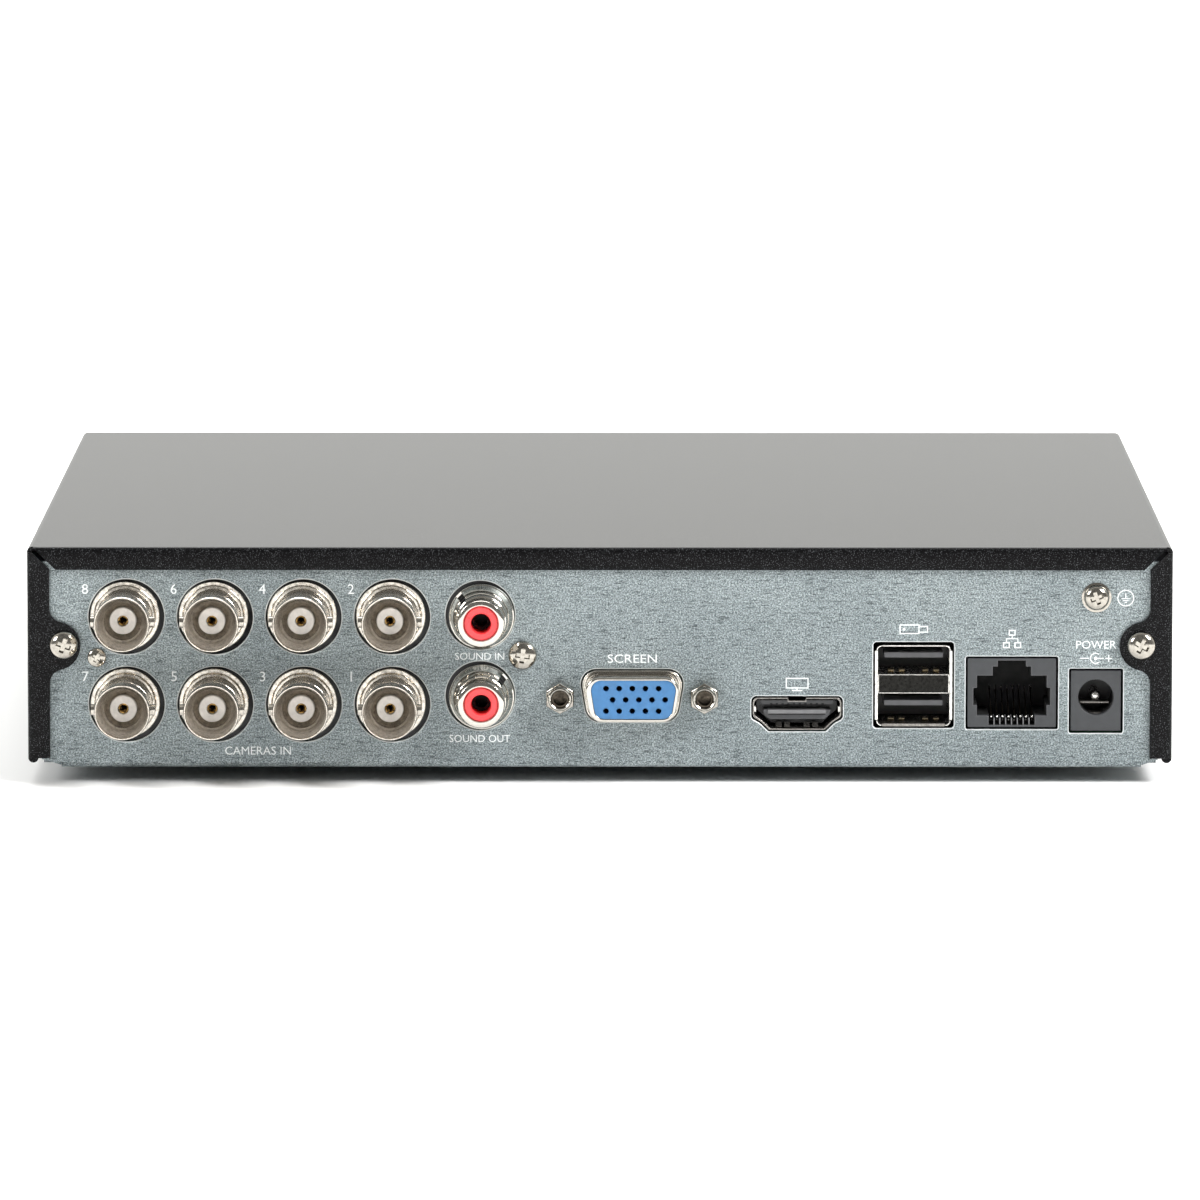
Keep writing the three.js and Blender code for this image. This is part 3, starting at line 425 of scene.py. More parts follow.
def noise(tree, vector, scale, detail, roughness):
    made = node(tree, "ShaderNodeTexNoise", Scale=scale, Detail=detail, Roughness=roughness)
    tree.links.new(vector, made.inputs["Vector"])
    return made.outputs["Fac"]


def ramp(tree, factor, *stops):
    """A colour ramp from (position, colour) stops."""
    made = node(tree, "ShaderNodeValToRGB")
    elements = made.color_ramp.elements
    while len(elements) < len(stops):
        elements.new(0.5)
    for element, (position, colour) in zip(elements, stops):
        element.position = position
        element.color = (*colour, 1)
    tree.links.new(factor, made.inputs["Fac"])
    return made.outputs["Color"]


def spread(tree, factor, low, high, to_low, to_high):
    made = node(tree, "ShaderNodeMapRange")
    for name, value in zip(("From Min", "From Max", "To Min", "To Max"), (low, high, to_low, to_high)):
        made.inputs[name].default_value = value
    tree.links.new(factor, made.inputs["Value"])
    return made.outputs["Result"]


def blend_colours(tree, mode, factor, a, b):
    made = node(tree, "ShaderNodeMix", data_type="RGBA", blend_type=mode)
    made.inputs["Factor"].default_value = factor
    tree.links.new(a, made.inputs["A"])
    tree.links.new(b, made.inputs["B"])
    return made.outputs["Result"]


def bump(tree, shader, height, strength, distance):
    made = node(tree, "ShaderNodeBump", Strength=strength, Distance=distance * MM)
    tree.links.new(height, made.inputs["Height"])
    tree.links.new(made.outputs["Normal"], shader.inputs["Normal"])


def galvanised():
    """Zinc coat: a fine even grain with sparse short dark dashes."""
    material, tree, shader = blank("galvanised_sheet")
    grain = noise(tree, object_coordinates(tree, (1, 1, 1.15)), 3.6, 2, 0.8)
    streaks = noise(tree, object_coordinates(tree, (0.36, 1, 2.2)), 1.1, 2, 0.7)
    clouds = noise(tree, object_coordinates(tree), 0.05, 2, 0.5)
    tones = ((0.34, (0.07, 0.088, 0.094)), (0.5, (0.225, 0.26, 0.268)), (0.66, (0.5, 0.555, 0.56)))
    dashes = ((0.33, (0.46, 0.47, 0.48)), (0.43, (0.92, 0.92, 0.92)), (0.62, (1.06, 1.06, 1.06)))
    fine, wide = ramp(tree, grain, *tones), ramp(tree, streaks, *dashes)
    broad = ramp(tree, clouds, (0.35, (0.86, 0.87, 0.88)), (0.65, (1, 1, 1)))
    colour = blend_colours(tree, "MULTIPLY", 1, blend_colours(tree, "MULTIPLY", 1, fine, wide), broad)
    tree.links.new(colour, shader.inputs["Base Color"])
    tree.links.new(spread(tree, grain, 0.3, 0.7, 0.52, 0.4), shader.inputs["Roughness"])
    shader.inputs["Metallic"].default_value = 0.65
    bump(tree, shader, grain, 0.3, 0.04)
    return material


def powder_coat():
    """Black powder coat: fine texture with small light specks."""
    material, tree, shader = blank("black_coat")
    grain = noise(tree, object_coordinates(tree), 3.2, 3, 0.6)
    specks = noise(tree, object_coordinates(tree), 5.6, 1, 0.5)
    black, dim, light = (0.001, 0.001, 0.0012), (0.005, 0.005, 0.0055), (0.075, 0.078, 0.082)
    tree.links.new(ramp(tree, specks, (0.54, black), (0.61, dim), (0.7, light)), shader.inputs["Base Color"])
    shader.inputs["Roughness"].default_value = 0.3
    shader.inputs["IOR"].default_value = 1.21
    bump(tree, shader, grain, 0.5, 0.04)
    return material


def plain(name, colour, roughness, metallic=0.0, grain=0.0, ior=1.5):
    """One colour with a little uneven tone and roughness."""
    material, tree, shader = blank(name)
    tone = noise(tree, object_coordinates(tree), 0.8, 3, 0.55)
    darker = tuple(c * 0.86 for c in colour)
    lighter = tuple(min(1, c * 1.08) for c in colour)
    rough = spread(tree, tone, 0.3, 0.7, roughness * 0.9, roughness * 1.15)
    tree.links.new(ramp(tree, tone, (0.3, darker), (0.7, lighter)), shader.inputs["Base Color"])
    tree.links.new(rough, shader.inputs["Roughness"])
    shader.inputs["Metallic"].default_value = metallic
    shader.inputs["IOR"].default_value = ior
    if grain:
        bump(tree, shader, noise(tree, object_coordinates(tree), 6, 2, 0.5), grain, 0.02)
    return material


def plated(name, colour, roughness, marks=0.35, dull=0.62):
    """Bright plating with turning marks and small dull patches."""
    material, tree, shader = blank(name)
    turning = noise(tree, object_coordinates(tree, (0.5, 4, 0.5)), 1.6, 3, 0.6)
    patches = noise(tree, object_coordinates(tree), 1.8, 4, 0.65)
    darker = tuple(c * dull for c in colour)
    rough = spread(tree, patches, 0.3, 0.7, roughness * 1.6, roughness * 0.7)
    tree.links.new(ramp(tree, patches, (0.34, darker), (0.58, colour)), shader.inputs["Base Color"])
    tree.links.new(rough, shader.inputs["Roughness"])
    shader.inputs["Metallic"].default_value = 1
    bump(tree, shader, turning, marks, 0.02)
    return material


def brushed(name, colour, roughness):
    """Rolled steel with faint long marks."""
    material, tree, shader = blank(name)
    marks = noise(tree, object_coordinates(tree, (0.02, 2.4, 2.4)), 1, 3, 0.6)
    darker = tuple(c * 0.85 for c in colour)
    tree.links.new(ramp(tree, marks, (0.35, darker), (0.65, colour)), shader.inputs["Base Color"])
    shader.inputs["Roughness"].default_value = roughness
    shader.inputs["Metallic"].default_value = 0.9
    return material


def circuit_green():
    """Green solder mask with fine traces."""
    material, tree, shader = blank("circuit_board")
    lines = node(tree, "ShaderNodeTexBrick", Scale=1.0, offset=0.37, squash=0.6)
    lines.inputs["Mortar Size"].default_value = 0.012
    lines.inputs["Brick Width"].default_value = 1.9
    lines.inputs["Row Height"].default_value = 0.62
    lines.inputs["Color1"].default_value = (0.014, 0.09, 0.04, 1)
    lines.inputs["Color2"].default_value = (0.018, 0.11, 0.05, 1)
    lines.inputs["Mortar"].default_value = (0.05, 0.2, 0.1, 1)
    tree.links.new(object_coordinates(tree), lines.inputs["Vector"])
    tree.links.new(lines.outputs["Color"], shader.inputs["Base Color"])
    shader.inputs["Roughness"].default_value = 0.35
    return material


GALVANISED = galvanised()
BLACK_COAT = powder_coat()
NICKEL = plated("nickel_plate", (0.64, 0.595, 0.53), 0.15, 0.45)
POLISHED = plated("polished_nickel", (0.6, 0.57, 0.52), 0.08, 0.12, 0.85)
JACK_NICKEL = plated("jackscrew_nickel", (0.46, 0.435, 0.39), 0.1, 0.3, 0.6)
SCREW = plated("bright_screw", (0.47, 0.44, 0.39), 0.12, 0.2, 0.7)
GOLD = plated("contact_gold", (0.42, 0.26, 0.09), 0.3)
TIN = plated("contact_tin", (0.82, 0.8, 0.76), 0.2)
DULL_STEEL = plated("dull_shell_steel", (0.3, 0.285, 0.265), 0.28, 0.5)
# Dark brown metal for the jackscrews' threads and the network contacts' wires deep in their hollows: painted
# shade.
SHADED_METAL = plated("painted_shade_brown_metal", (0.09, 0.076, 0.06), 0.3)
# Near-black metal for the face between the USB divider's two sheets: painted shade in the gap.
DIVIDER_SHADE = plated("divider_painted_shade", (0.022, 0.0215, 0.02), 0.22, 0.6, 0.5)
SPRING = plated("spring_gold", (0.7, 0.6, 0.42), 0.16)
# A lighter grey than the mouldings round it, for the network socket's ribs and the digital socket's blade:
# painted light on faces that catch the lamps.
LIT_GREY = plain("moulding_painted_lit_grey", (0.14, 0.14, 0.143), 0.4)
# A lighter tone for the rounded rims of holes cut in the sheet: a painted highlight.
EDGE_HIGHLIGHT = plain("cut_edge_painted_highlight", (0.6, 0.63, 0.63), 0.42, 0.35)
BLACK_PLASTIC = plain("black_plastic", (0.009, 0.009, 0.01), 0.42, grain=0.15, ior=1.35)
PAPER = plain("blank_label", (0.4, 0.4, 0.385), 0.6)
SOCKET_BLACK = plain("black_moulding", (0.012, 0.012, 0.013), 0.4, grain=0.1)
SOCKET_GREY = plain("grey_moulding", (0.035, 0.037, 0.04), 0.45, grain=0.1)
TONGUE_GREY = plain("tongue_grey", (0.065, 0.066, 0.07), 0.4, grain=0.1)
WHITE = plain("white_moulding", (0.80, 0.76, 0.72), 0.4)
RED = plain("red_moulding", (0.8, 0.05, 0.055), 0.3)
BLUE = plain("blue_moulding", (0.042, 0.152, 0.33), 0.4)
RUBBER = plain("foot_rubber", (0.02, 0.02, 0.02), 0.8, grain=0.3)
INK = plain("label_ink", (0.74, 0.77, 0.77), 0.5)
CLEAR = plain("clear_plastic", (0.55, 0.62, 0.66), 0.12)
CIRCUIT = circuit_green()
FIN_ALUMINIUM = plain("heat_sink_aluminium", (0.42, 0.43, 0.44), 0.38, 0.9)
CAST_ALUMINIUM = plain("cast_aluminium", (0.3, 0.305, 0.31), 0.45, 0.85, 0.25)
STEEL = brushed("rolled_steel", (0.31, 0.315, 0.32), 0.36)
DISC_MIRROR = plain("disc_mirror", (0.55, 0.56, 0.57), 0.04, 1.0)
DATA_RED = plain("data_lead_jacket", (0.42, 0.03, 0.035), 0.45)
POWER_BLACK = plain("power_lead_jacket", (0.025, 0.025, 0.027), 0.5)
# Near-black fill set in hollows, slots and behind holes: painted shade.
SHADE_FILL = plain("painted_shade_fill", (0.006, 0.006, 0.006), 0.7)

# ---------- connector panel and the rest of the chassis tray ----------

VIDEO_HOLE = 6.6
VIDEO_HOLE_SHIFT = (0.25, -0.2)
AUDIO_HOLE = 6.05
AUDIO_HOLE_SHIFT = (0.1, -0.13)
AUDIO_DROOP = (0.35, -0.35)
FOLD_LEFT, FOLD_RIGHT, FOLD_RADIUS = -94.2, 94.7, 1.4
FLOOR_Z = TRAY_LOW.z
TRAY_HALF = TRAY_HIGH.x


def panel_holes():
    right, up = VIDEO_HOLE_SHIFT
    holes = [circle(x + right, z + up, VIDEO_HOLE, 72) for x, z in VIDEO_SOCKETS.values()]
    right, up = AUDIO_HOLE_SHIFT
    holes += [circle(x + right, z + up, AUDIO_HOLE, 72) for x, z in AUDIO_SOCKETS.values()]
    holes.append(d_outline(VGA_X, VGA_Z, 17.9, 9.3, 2.6))
    holes.append(digital_outline())
    holes.append(rounded_rect(USB_X, USB_Z, 14.1, 15.15, 0.6))
    holes.append(rounded_rect(LAN_X, LAN_Z, 16.15, 12.8, 0.35))
    holes.append(rounded_rect(POWER_X, POWER_Z, 9.45, 11.35, 0.35))
    return holes


def connector_panel():
    low, half = FLOOR_Z + FOLD_RADIUS, TRAY_HALF
    outline = [(FOLD_LEFT, low), (FOLD_RIGHT, low), (FOLD_RIGHT + 0.05, low - 0.9), (half, low + 0.1)]
    outline += [(half, TRAY_HIGH.z), (-half, TRAY_HIGH.z), (-half, low + 0.1), (FOLD_LEFT - 0.05, low - 0.9)]
    bm = add_plate(bmesh.new(), "y", outline, PANEL_Y, PANEL_Y + SHEET, panel_holes(), edge=0, hole_edge=0.18)
    # The holes' rounded rims take the lighter rim material: a painted highlight.
    show(bm, "connector_panel", GALVANISED, "galvanised_sheet", replaces=["chassis_tray"], rim=EDGE_HIGHLIGHT)


def floor_fold():
    """The bend between the panel and the floor."""
    y, z = PANEL_Y + FOLD_RADIUS, FLOOR_Z + FOLD_RADIUS
    outline = arc(y, z, FOLD_RADIUS, 180, 270, 16) + [(y + 1, FLOOR_Z), (y + 1, FLOOR_Z + SHEET)]
    outline += arc(y, z, FOLD_RADIUS - SHEET, 270, 180, 10)
    bm = add_prism(bmesh.new(), "x", outline, FOLD_LEFT, FOLD_RIGHT)
    show(bm, "floor_fold", GALVANISED, "galvanised_sheet")


SIDE_WALL_TOP = 14
FLOOR_VENT_ROWS = (12, 56)
FLOOR_VENTS = {"first": -30, "pitch": 12, "count": 8, "width": 3, "length": 26}


def chassis_floor():
    slots = [slot for y in FLOOR_VENT_ROWS for slot in vent_slots(y, **FLOOR_VENTS)]
    back, front, corner = PANEL_Y + 2.3, TRAY_HIGH.y, PANEL_Y + 6.6
    outline = [(FOLD_LEFT, back), (FOLD_RIGHT, back), (FOLD_RIGHT, corner), (TRAY_HALF, corner)]
    outline += [(TRAY_HALF, front), (-TRAY_HALF, front), (-TRAY_HALF, corner), (FOLD_LEFT, corner)]
    bm = add_plate(bmesh.new(), "z", outline, FLOOR_Z, FLOOR_Z + SHEET, slots, edge=0, hole_edge=0.15)
    # The slots' rounded rims take the lighter rim material: a painted highlight.
    show(bm, "chassis_floor", GALVANISED, "galvanised_sheet", rim=EDGE_HIGHLIGHT)
    walls = bmesh.new()
    for side in (-1, 1):
        sheet = span(side * (TRAY_HALF - SHEET / 2), SHEET / 2)
        add_block(walls, (0, 0, 0), sheet, (corner, front - SHEET), (FLOOR_Z + SHEET, SIDE_WALL_TOP))
    show(walls, "chassis_side_walls", GALVANISED, "galvanised_sheet", soft=0.15)


def chassis_front_wall():
    back, front = TRAY_HIGH.y - SHEET, TRAY_HIGH.y
    base, top = FLOOR_Z + SHEET, TRAY_HIGH.z
    outline = [(-TRAY_HALF, base), (TRAY_HALF, base), (TRAY_HALF, top), (-TRAY_HALF, top)]
    holes = [rounded_rect(x, 34.45, 9, 3.1, 0.3) for x in (-78, -26, 26, 78)]
    holes.append(rounded_rect(-78, 23.5, 14, 7, 0.8))
    bm = add_plate(bmesh.new(), "y", outline, back, front, holes, edge=0, hole_edge=0.15)
    # The holes' rounded rims take the lighter rim material: a painted highlight.
    show(bm, "chassis_front_wall", GALVANISED, "galvanised_sheet", rim=EDGE_HIGHLIGHT)
    flange = add_block(bmesh.new(), (0, back, top), span(0, TRAY_HALF - 1), (-9, 0), (-SHEET, 0))
    show(flange, "front_wall_flange", GALVANISED, "galvanised_sheet", soft=0.2)


def board_posts():
    bm = bmesh.new()
    base = FLOOR_Z + SHEET - 0.1
    for x in (-89, 89):
        for y in (-80, -27):
            add_cone(bm, Matrix.Translation((x, y, base + 2)), (3.4, 3), 4, 32)
    for x in (-47, 71):
        add_block(bm, (x, 0, 0), (-3, 3), (-10, 86), (base, 5.95))
    show(bm, "board_posts_and_drive_rails", GALVANISED, "galvanised_sheet", soft=0.25)


connector_panel()
floor_fold()
chassis_floor()
chassis_front_wall()
board_posts()

# ---------- top cover: one folded sheet ----------

COVER_BEND = 1.0
LIP = 0.9  # outer radius of the bend into the rear flange
HALF = COVER_HIGH.x
TOP = COVER_HIGH.z
SKIRT = COVER_LOW.z
HEM_RADIUS = 0.9
STRIP_X = 96.1
TOP_STRIP_Z = 37.6
EAR_X, EAR_Z, EAR_RADIUS, EAR_FILLET = 95.0, 24.2, 4.27, 2.5
MITRE_TOP = 57.4  # x - z along the top strip's end
MITRE_SIDE = 58.4  # x - z along the side strip's end


def wall_profile():
    """One half of the cover's section, from the hem's inner edge up to the roof, for the +X side."""
    hem = arc(HALF - HEM_RADIUS, SKIRT + HEM_RADIUS, HEM_RADIUS, 180, 360, 10)
    bend = arc(HALF - COVER_BEND, TOP - COVER_BEND, COVER_BEND, 0, 90, 10)
    return [(HALF - 2 * HEM_RADIUS, SKIRT + 6), *hem, *bend]


def ear_outline():
    """The side strip's inner edge from top to bottom, with the round ear and its fillets."""
    reach = EAR_RADIUS + EAR_FILLET
    fillet_x = STRIP_X - EAR_FILLET
    rise = math.sqrt(reach**2 - (EAR_X - fillet_x) ** 2)
    turn = math.degrees(math.atan2(rise, EAR_X - fillet_x))
    upper = arc(fillet_x, EAR_Z + rise, EAR_FILLET, 0, -turn, 8)
    ear = arc(EAR_X, EAR_Z, EAR_RADIUS, 180 - turn, 180 + turn, 18)
    lower = arc(fillet_x, EAR_Z - rise, EAR_FILLET, turn, 0, 8)
    return upper + ear[1:-1] + lower


def cover_sheet():
    """The cover's outer surface as open sheets that share their edges, before it gets its thickness."""
    bm = bmesh.new()
    back = FLANGE_Y + LIP
    add_sheet(bm, [[(x, y, z) for x, z in mirrored(wall_profile())] for y in (back, COVER_HIGH.y)])

    turns = [math.radians(15 * i) for i in range(7)]
    lip = [(LIP - LIP * math.cos(t), back - LIP * math.sin(t)) for t in turns]
    top_rows = []
    for y, z in [*((y, TOP - drop) for drop, y in lip), (FLANGE_Y, TOP_STRIP_Z)]:
        half_width = min(MITRE_TOP + z, HALF - COVER_BEND)
        top_rows.append([(-half_width, y, z), (half_width, y, z)])
    add_sheet(bm, top_rows)

    low_z, wall_top = SKIRT + HEM_RADIUS, TOP - COVER_BEND
    for side in (-1, 1):
        columns = []
        for drop, y in lip:
            x = HALF - drop
            columns.append([(side * x, y, low_z), (side * x, y, min(wall_top, x - MITRE_SIDE))])
        low, high = add_sheet(bm, columns)[-1]
        inner = [(STRIP_X, STRIP_X - MITRE_SIDE), *ear_outline(), (STRIP_X, low_z)]
        bm.faces.new([high, *(bm.verts.new((side * x, FLANGE_Y, z)) for x, z in inner), low])
    bmesh.ops.remove_doubles(bm, verts=bm.verts, dist=1e-4)
    return bm


SIDE_VENT_Z = 24
SIDE_VENTS = {"first": -8, "pitch": 9, "count": 9, "width": 3, "length": 14}


def cover_cutters():
    vents, holes = bmesh.new(), bmesh.new()
    for side in (-1, 1):
        for slot in vent_slots(SIDE_VENT_Z, **SIDE_VENTS):
            add_prism(vents, "x", slot, side * HALF - 2, side * HALF + 2)
    for name in ("cover_screw_left", "cover_screw_right"):
        x, z = centre_xz(name)
        add_prism(holes, "y", circle(x, z, 1.8, 32), FLANGE_Y - 1, FLANGE_Y + SHEET + 1)
    return vents, holes


def top_cover():
    sheet = link(finish_mesh(cover_sheet(), "cover_sheet"), "cover_sheet")
    solid = sheet.modifiers.new("thickness", "SOLIDIFY")
    solid.thickness = SHEET * MM
    solid.offset = -1
    solid.use_even_offset = True
    bm = carve(taken_back(sheet), *cover_cutters())
    show(bm, "top_cover_sheet", BLACK_COAT, "black_coat", "cover", ["top_cover"], soft=0.12, angle=40)


top_cover()

# ---------- screws ----------


def phillips_cutters(x, z, out, reach, depth, turn):
    """The two crossed arms of a recess that narrows inwards."""
    arms = []
    for angle in (turn, turn + 90):
        arm = add_box(bmesh.new(), (-reach, -2, -reach * 0.3), (reach, depth, reach * 0.3))
        for vert in arm.verts:
            if vert.co.y > 0:
                vert.co.x *= 0.55
                vert.co.z *= 0.6
        bmesh.ops.transform(arm, matrix=turned(x, out, z, angle), verts=arm.verts)
        arms.append(arm)
    return arms


def pan_head(name, node_name, body, radius, height, turn, rim=0.0):
    """A pan-head screw whose cross recess is turned by some degrees."""
    x, z = centre_xz(node_name)
    out = PANEL_Y - (FLANGE_Y if body == "cover" else PANEL_Y) + 0.05
    turns = [math.radians(9 * i) for i in range(1, 10)]
    dome = [(radius * math.sin(t), out + 0.35 + (height - 0.35) * math.cos(t) ** 0.7) for t in turns]
    profile = [(0, out + height), *dome, (radius, out + 0.35)]
    if rim:
        profile += [(radius + 0.05, out + 0.3), (radius + rim, out + 0.25), (radius + rim, out)]
    else:
        profile += [(radius, out + 0.1), (radius - 0.1, out)]
    shank = 1.35 if radius > 2 else 0.9
    profile += [(shank, out), (shank, out - 6), (0, out - 6)]
    head = add_lathe(bmesh.new(), profile, x, z, 48)
    cutters = phillips_cutters(x, z, out + height, radius * 0.76, height * 0.62, turn)
    show(carve(head, *cutters), name, SCREW, "bright_screw", body, [node_name], angle=30)


pan_head("cover_screw_left_head", "cover_screw_left", "cover", 2.5, 1.8, 20)
pan_head("cover_screw_right_head", "cover_screw_right", "cover", 2.5, 1.8, 28)
pan_head("ground_screw_head", "ground_screw", "chassis", 2.2, 1.7, -22, rim=0.4)
pan_head("audio_block_screw_head", "audio_block_screw", "chassis", 2.5, 1.6, 8)
pan_head("video_block_screw_head", "video_block_screw", "chassis", 1.65, 1.0, 30)

# ---------- eight video sockets ----------

VIDEO_REACH = PANEL_Y - box_mm("video_socket_shell_1")[0].y
BEHIND = -0.9

VIDEO_SHELL = [
    (6.08, BEHIND), (6.08, 0.25), (5.95, 0.4), (5.45, 0.42), (5.35, 0.6), (5.3, 0.95), (5.15, 1.1),
    (4.85, 1.12), (4.76, 1.3), (4.76, 7.2), (4.6, 7.32), (4.6, 7.75), (4.76, 7.87), (4.76, 10.7),
    (4.66, 10.8), (4.66, 11.1), (4.85, 11.2), (4.85, VIDEO_REACH - 0.2), (4.74, VIDEO_REACH),
    (4.58, VIDEO_REACH), (4.46, VIDEO_REACH - 0.2), (4.12, 10.6), (3.66, 8.8), (3.36, 8.1), (3.24, 7.9),
    (3.2, 7.2), (3.05, 7.0), (2.75, 6.7), (2.42, 6.2), (2.42, BEHIND),
]
LUG_OUT = 8.6


def video_socket(number):
    x, z = VIDEO_SOCKETS[number]
    shell = add_lathe(bmesh.new(), VIDEO_SHELL, x, z, 72)
    for side in (-1, 1):
        add_cone(shell, turned(x + side * 5.0, LUG_OUT, z, 90), (0.98, 0.98), 1.1, 24)
    add_block(shell, (x, PANEL_Y, z), span(0, 0.07), (-11.9, -1.2), (4.6, 4.84))
    show(shell, f"video_shell_{number}", NICKEL, "nickel_plate", replaces=[f"video_socket_shell_{number}"])

    profile = [(0.95, 2), (0.95, 7.35), (1.05, 7.5), (2.2, 7.5), (2.35, 7.35), (2.35, BEHIND), (0.95, BEHIND)]
    insulator = add_lathe(bmesh.new(), profile, x, z, 48)
    replaced = [f"video_socket_insulator_{number}"]
    show(insulator, f"video_insulator_{number}", WHITE, "white_moulding", replaces=replaced)

    seat = add_lathe(bmesh.new(), [(6.1, -1.0), (7.3, -1.0), (7.3, -1.8), (6.1, -1.8)], x, z, 48)
    show(seat, f"video_seat_{number}", SOCKET_BLACK, "black_moulding")

    profile = [(0.5, 2.5), (0.5, 6.5), (0.7, 6.8), (0.84, 6.8), (0.92, 6.6), (0.92, 2.5)]
    tube = add_lathe(bmesh.new(), profile, x, z, 40)
    turn = 20 + number * 7
    slits = [add_cuboid(bmesh.new(), turned(x, 6.6, z, angle), (3, 3.4, 0.3)) for angle in (turn, turn + 90)]
    show(carve(tube, *slits), f"video_contact_{number}", GOLD, "nickel_plate")


for number in VIDEO_SOCKETS:
    video_socket(number)

# ---------- audio sockets ----------

AUDIO_REACH = PANEL_Y - box_mm("audio_in_shell")[0].y
AUDIO_SHELL = [
    (5.72, BEHIND), (5.72, 0.2), (5.62, 0.35), (5.45, 0.4), (5.25, 0.7), (4.95, 1.3), (4.72, 2.0),
    (4.62, 2.8), (4.6, 3.3), (4.48, 3.5), (4.4, 3.6), (4.38, 5.2), (4.3, 5.5), (4.15, 5.6),
    (4.12, AUDIO_REACH - 0.4), (3.98, AUDIO_REACH - 0.1), (3.8, AUDIO_REACH), (3.15, AUDIO_REACH),
    (2.92, AUDIO_REACH - 0.25), (2.92, BEHIND),
]
AUDIO_SLIT_ANGLE = {"in": 136, "out": 42}


def audio_socket(way):
    x, z = AUDIO_SOCKETS[way][0] + AUDIO_DROOP[0], AUDIO_SOCKETS[way][1] + AUDIO_DROOP[1]
    turn = turned(x, 0, z, -AUDIO_SLIT_ANGLE[way])
    width = 1.15
    shell = add_lathe(bmesh.new(), AUDIO_SHELL, x, z, 72)
    slit = add_cuboid(bmesh.new(), turn @ Matrix.Translation((4.6, -2.75, 0)), (2.4, 4.9, width))
    show(carve(shell, slit), f"audio_{way}_barrel", POLISHED, "nickel_plate", replaces=[f"audio_{way}_shell"])
    front = AUDIO_REACH - 0.12
    profile = [(1.72, 1), (1.72, front - 0.25), (1.85, front), (2.72, front), (2.86, front - 0.15), (2.86, 1)]
    insert = add_lathe(bmesh.new(), profile, x, z, 56)
    show(insert, f"audio_{way}_core", RED, "red_moulding", replaces=[f"audio_{way}_insert"])
    # Painted shade: a near-black liner in the red core's hole and near-black blocks on the floor of the
    # barrel's slit.
    dark = add_lathe(bmesh.new(), [(1.1, 1.2), (1.1, 5.5), (1.64, 5.8), (1.64, 1.2)], x, z, 40)
    inner = 3.45
    for radius, out in ((5.3, 0.35), (4.85, 1.1), (4.5, 2.7), (4.2, 5.1)):
        step = turn @ Matrix.Translation(((radius + inner) / 2, 0.2 - out / 2, 0))
        add_cuboid(dark, step, (radius - inner, out + 0.4, width - 0.04))
    show(dark, f"audio_{way}_painted_shade_hollows", SHADE_FILL, "nickel_plate")


for way in AUDIO_SOCKETS:
    audio_socket(way)

# ---------- VGA socket ----------

VGA_REACH = PANEL_Y - box_mm("vga_socket_shell")[0].y
VGA_INSET = 0.2  # how far the insert sits off the shell's middle
PIN_PITCH, PIN_RISE = 2.29, 1.98
PIN_ROWS = ((1, -2), (0, -1.5), (-1, -2))  # rise and first pin, in pitches


def vga_outline(width, height, radius, shift=0.0):
    return d_outline(VGA_X + shift, VGA_Z, width, height, radius)


def vga_shell():
    behind = PANEL_Y + 0.9
    outer, inner = vga_outline(16.3, 7.9, 2.4), vga_outline(14.8, 6.8, 1.8, VGA_INSET)
    bm = bmesh.new()
    add_plate(bm, "y", outer, PANEL_Y - VGA_REACH, PANEL_Y + 9, [inner], edge=0.3, hole_edge=0.12)
    collar, collar_hole = vga_outline(17.5, 8.95, 2.6), vga_outline(16.9, 8.4, 2.45)
    add_plate(bm, "y", collar, PANEL_Y - 0.35, behind, [collar_hole], edge=0.1)
    add_plate(bm, "y", vga_outline(17.2, 8.8, 2.55), PANEL_Y + 0.3, behind, [outer], edge=0.05)
    show(bm, "vga_shell", POLISHED, "nickel_plate", replaces=["vga_socket_shell"], rim=POLISHED)


def vga_insert():
    front = PANEL_Y - VGA_REACH + 0.15
    holes = [
        circle(VGA_X + (first + i) * PIN_PITCH, VGA_Z + rise * PIN_RISE, 0.5, 20)
        for rise, first in PIN_ROWS
        for i in range(5)
    ]
    block = vga_outline(14.76, 6.76, 1.78, VGA_INSET)
    bm = add_plate(bmesh.new(), "y", block, front, front + 5, holes, edge=0.05, hole_edge=0.06)
    show(bm, "vga_insert", BLUE, "blue_moulding", replaces=["vga_socket_insert"], rim=BLUE)
    # The insert's back part is near-black, not blue: painted shade behind the pin holes.
    backing = add_prism(bmesh.new(), "y", vga_outline(15.1, 6.9, 1.7), front + 5, front + 14)
    show(backing, "vga_insert_painted_shade_backing", SHADE_FILL, "blue_moulding")


def jackscrew(side):
    """A hexagonal standoff with a round nose and a threaded bore."""
    x, z = JACKSCREWS[side]
    corner = 4.8 / math.sqrt(3)
    hexagon = arc(x, z, corner, 90, -210, 5)
    hole = circle(x, z, 1.75, 40)
    bm = add_plate(bmesh.new(), "y", hexagon, PANEL_Y - 4.2, PANEL_Y - 0.05, [hole], edge=0.4, hole_edge=0.1)
    nose = [(1.9, 3.6), (2.12, 4.15), (2.12, 4.55), (2.07, 4.8), (1.94, 4.97), (1.78, 5.0), (1.6, 4.88)]
    add_lathe(bm, [*nose, (1.44, 4.5), (1.4, 3.6)], x, z, 48)
    replaced = [f"vga_jackscrew_{side}"]
    show(bm, f"jackscrew_{side}", JACK_NICKEL, "nickel_plate", replaces=replaced, rim=JACK_NICKEL)
    # The thread is dark brown metal: painted shade inside the bore.
    thread = [(1.2 + 0.17 * (i % 2), 4.6 - i * 0.22) for i in range(14)]
    bore = add_lathe(bmesh.new(), [(1.42, 4.6), *thread, (0, 1.5), (0, 1.0), (1.42, 1.0)], x, z, 48)
    show(bore, f"jackscrew_painted_shade_bore_{side}", SHADED_METAL, "nickel_plate")


vga_shell()
vga_insert()
for side in JACKSCREWS:
    jackscrew(side)

# ---------- digital video socket ----------


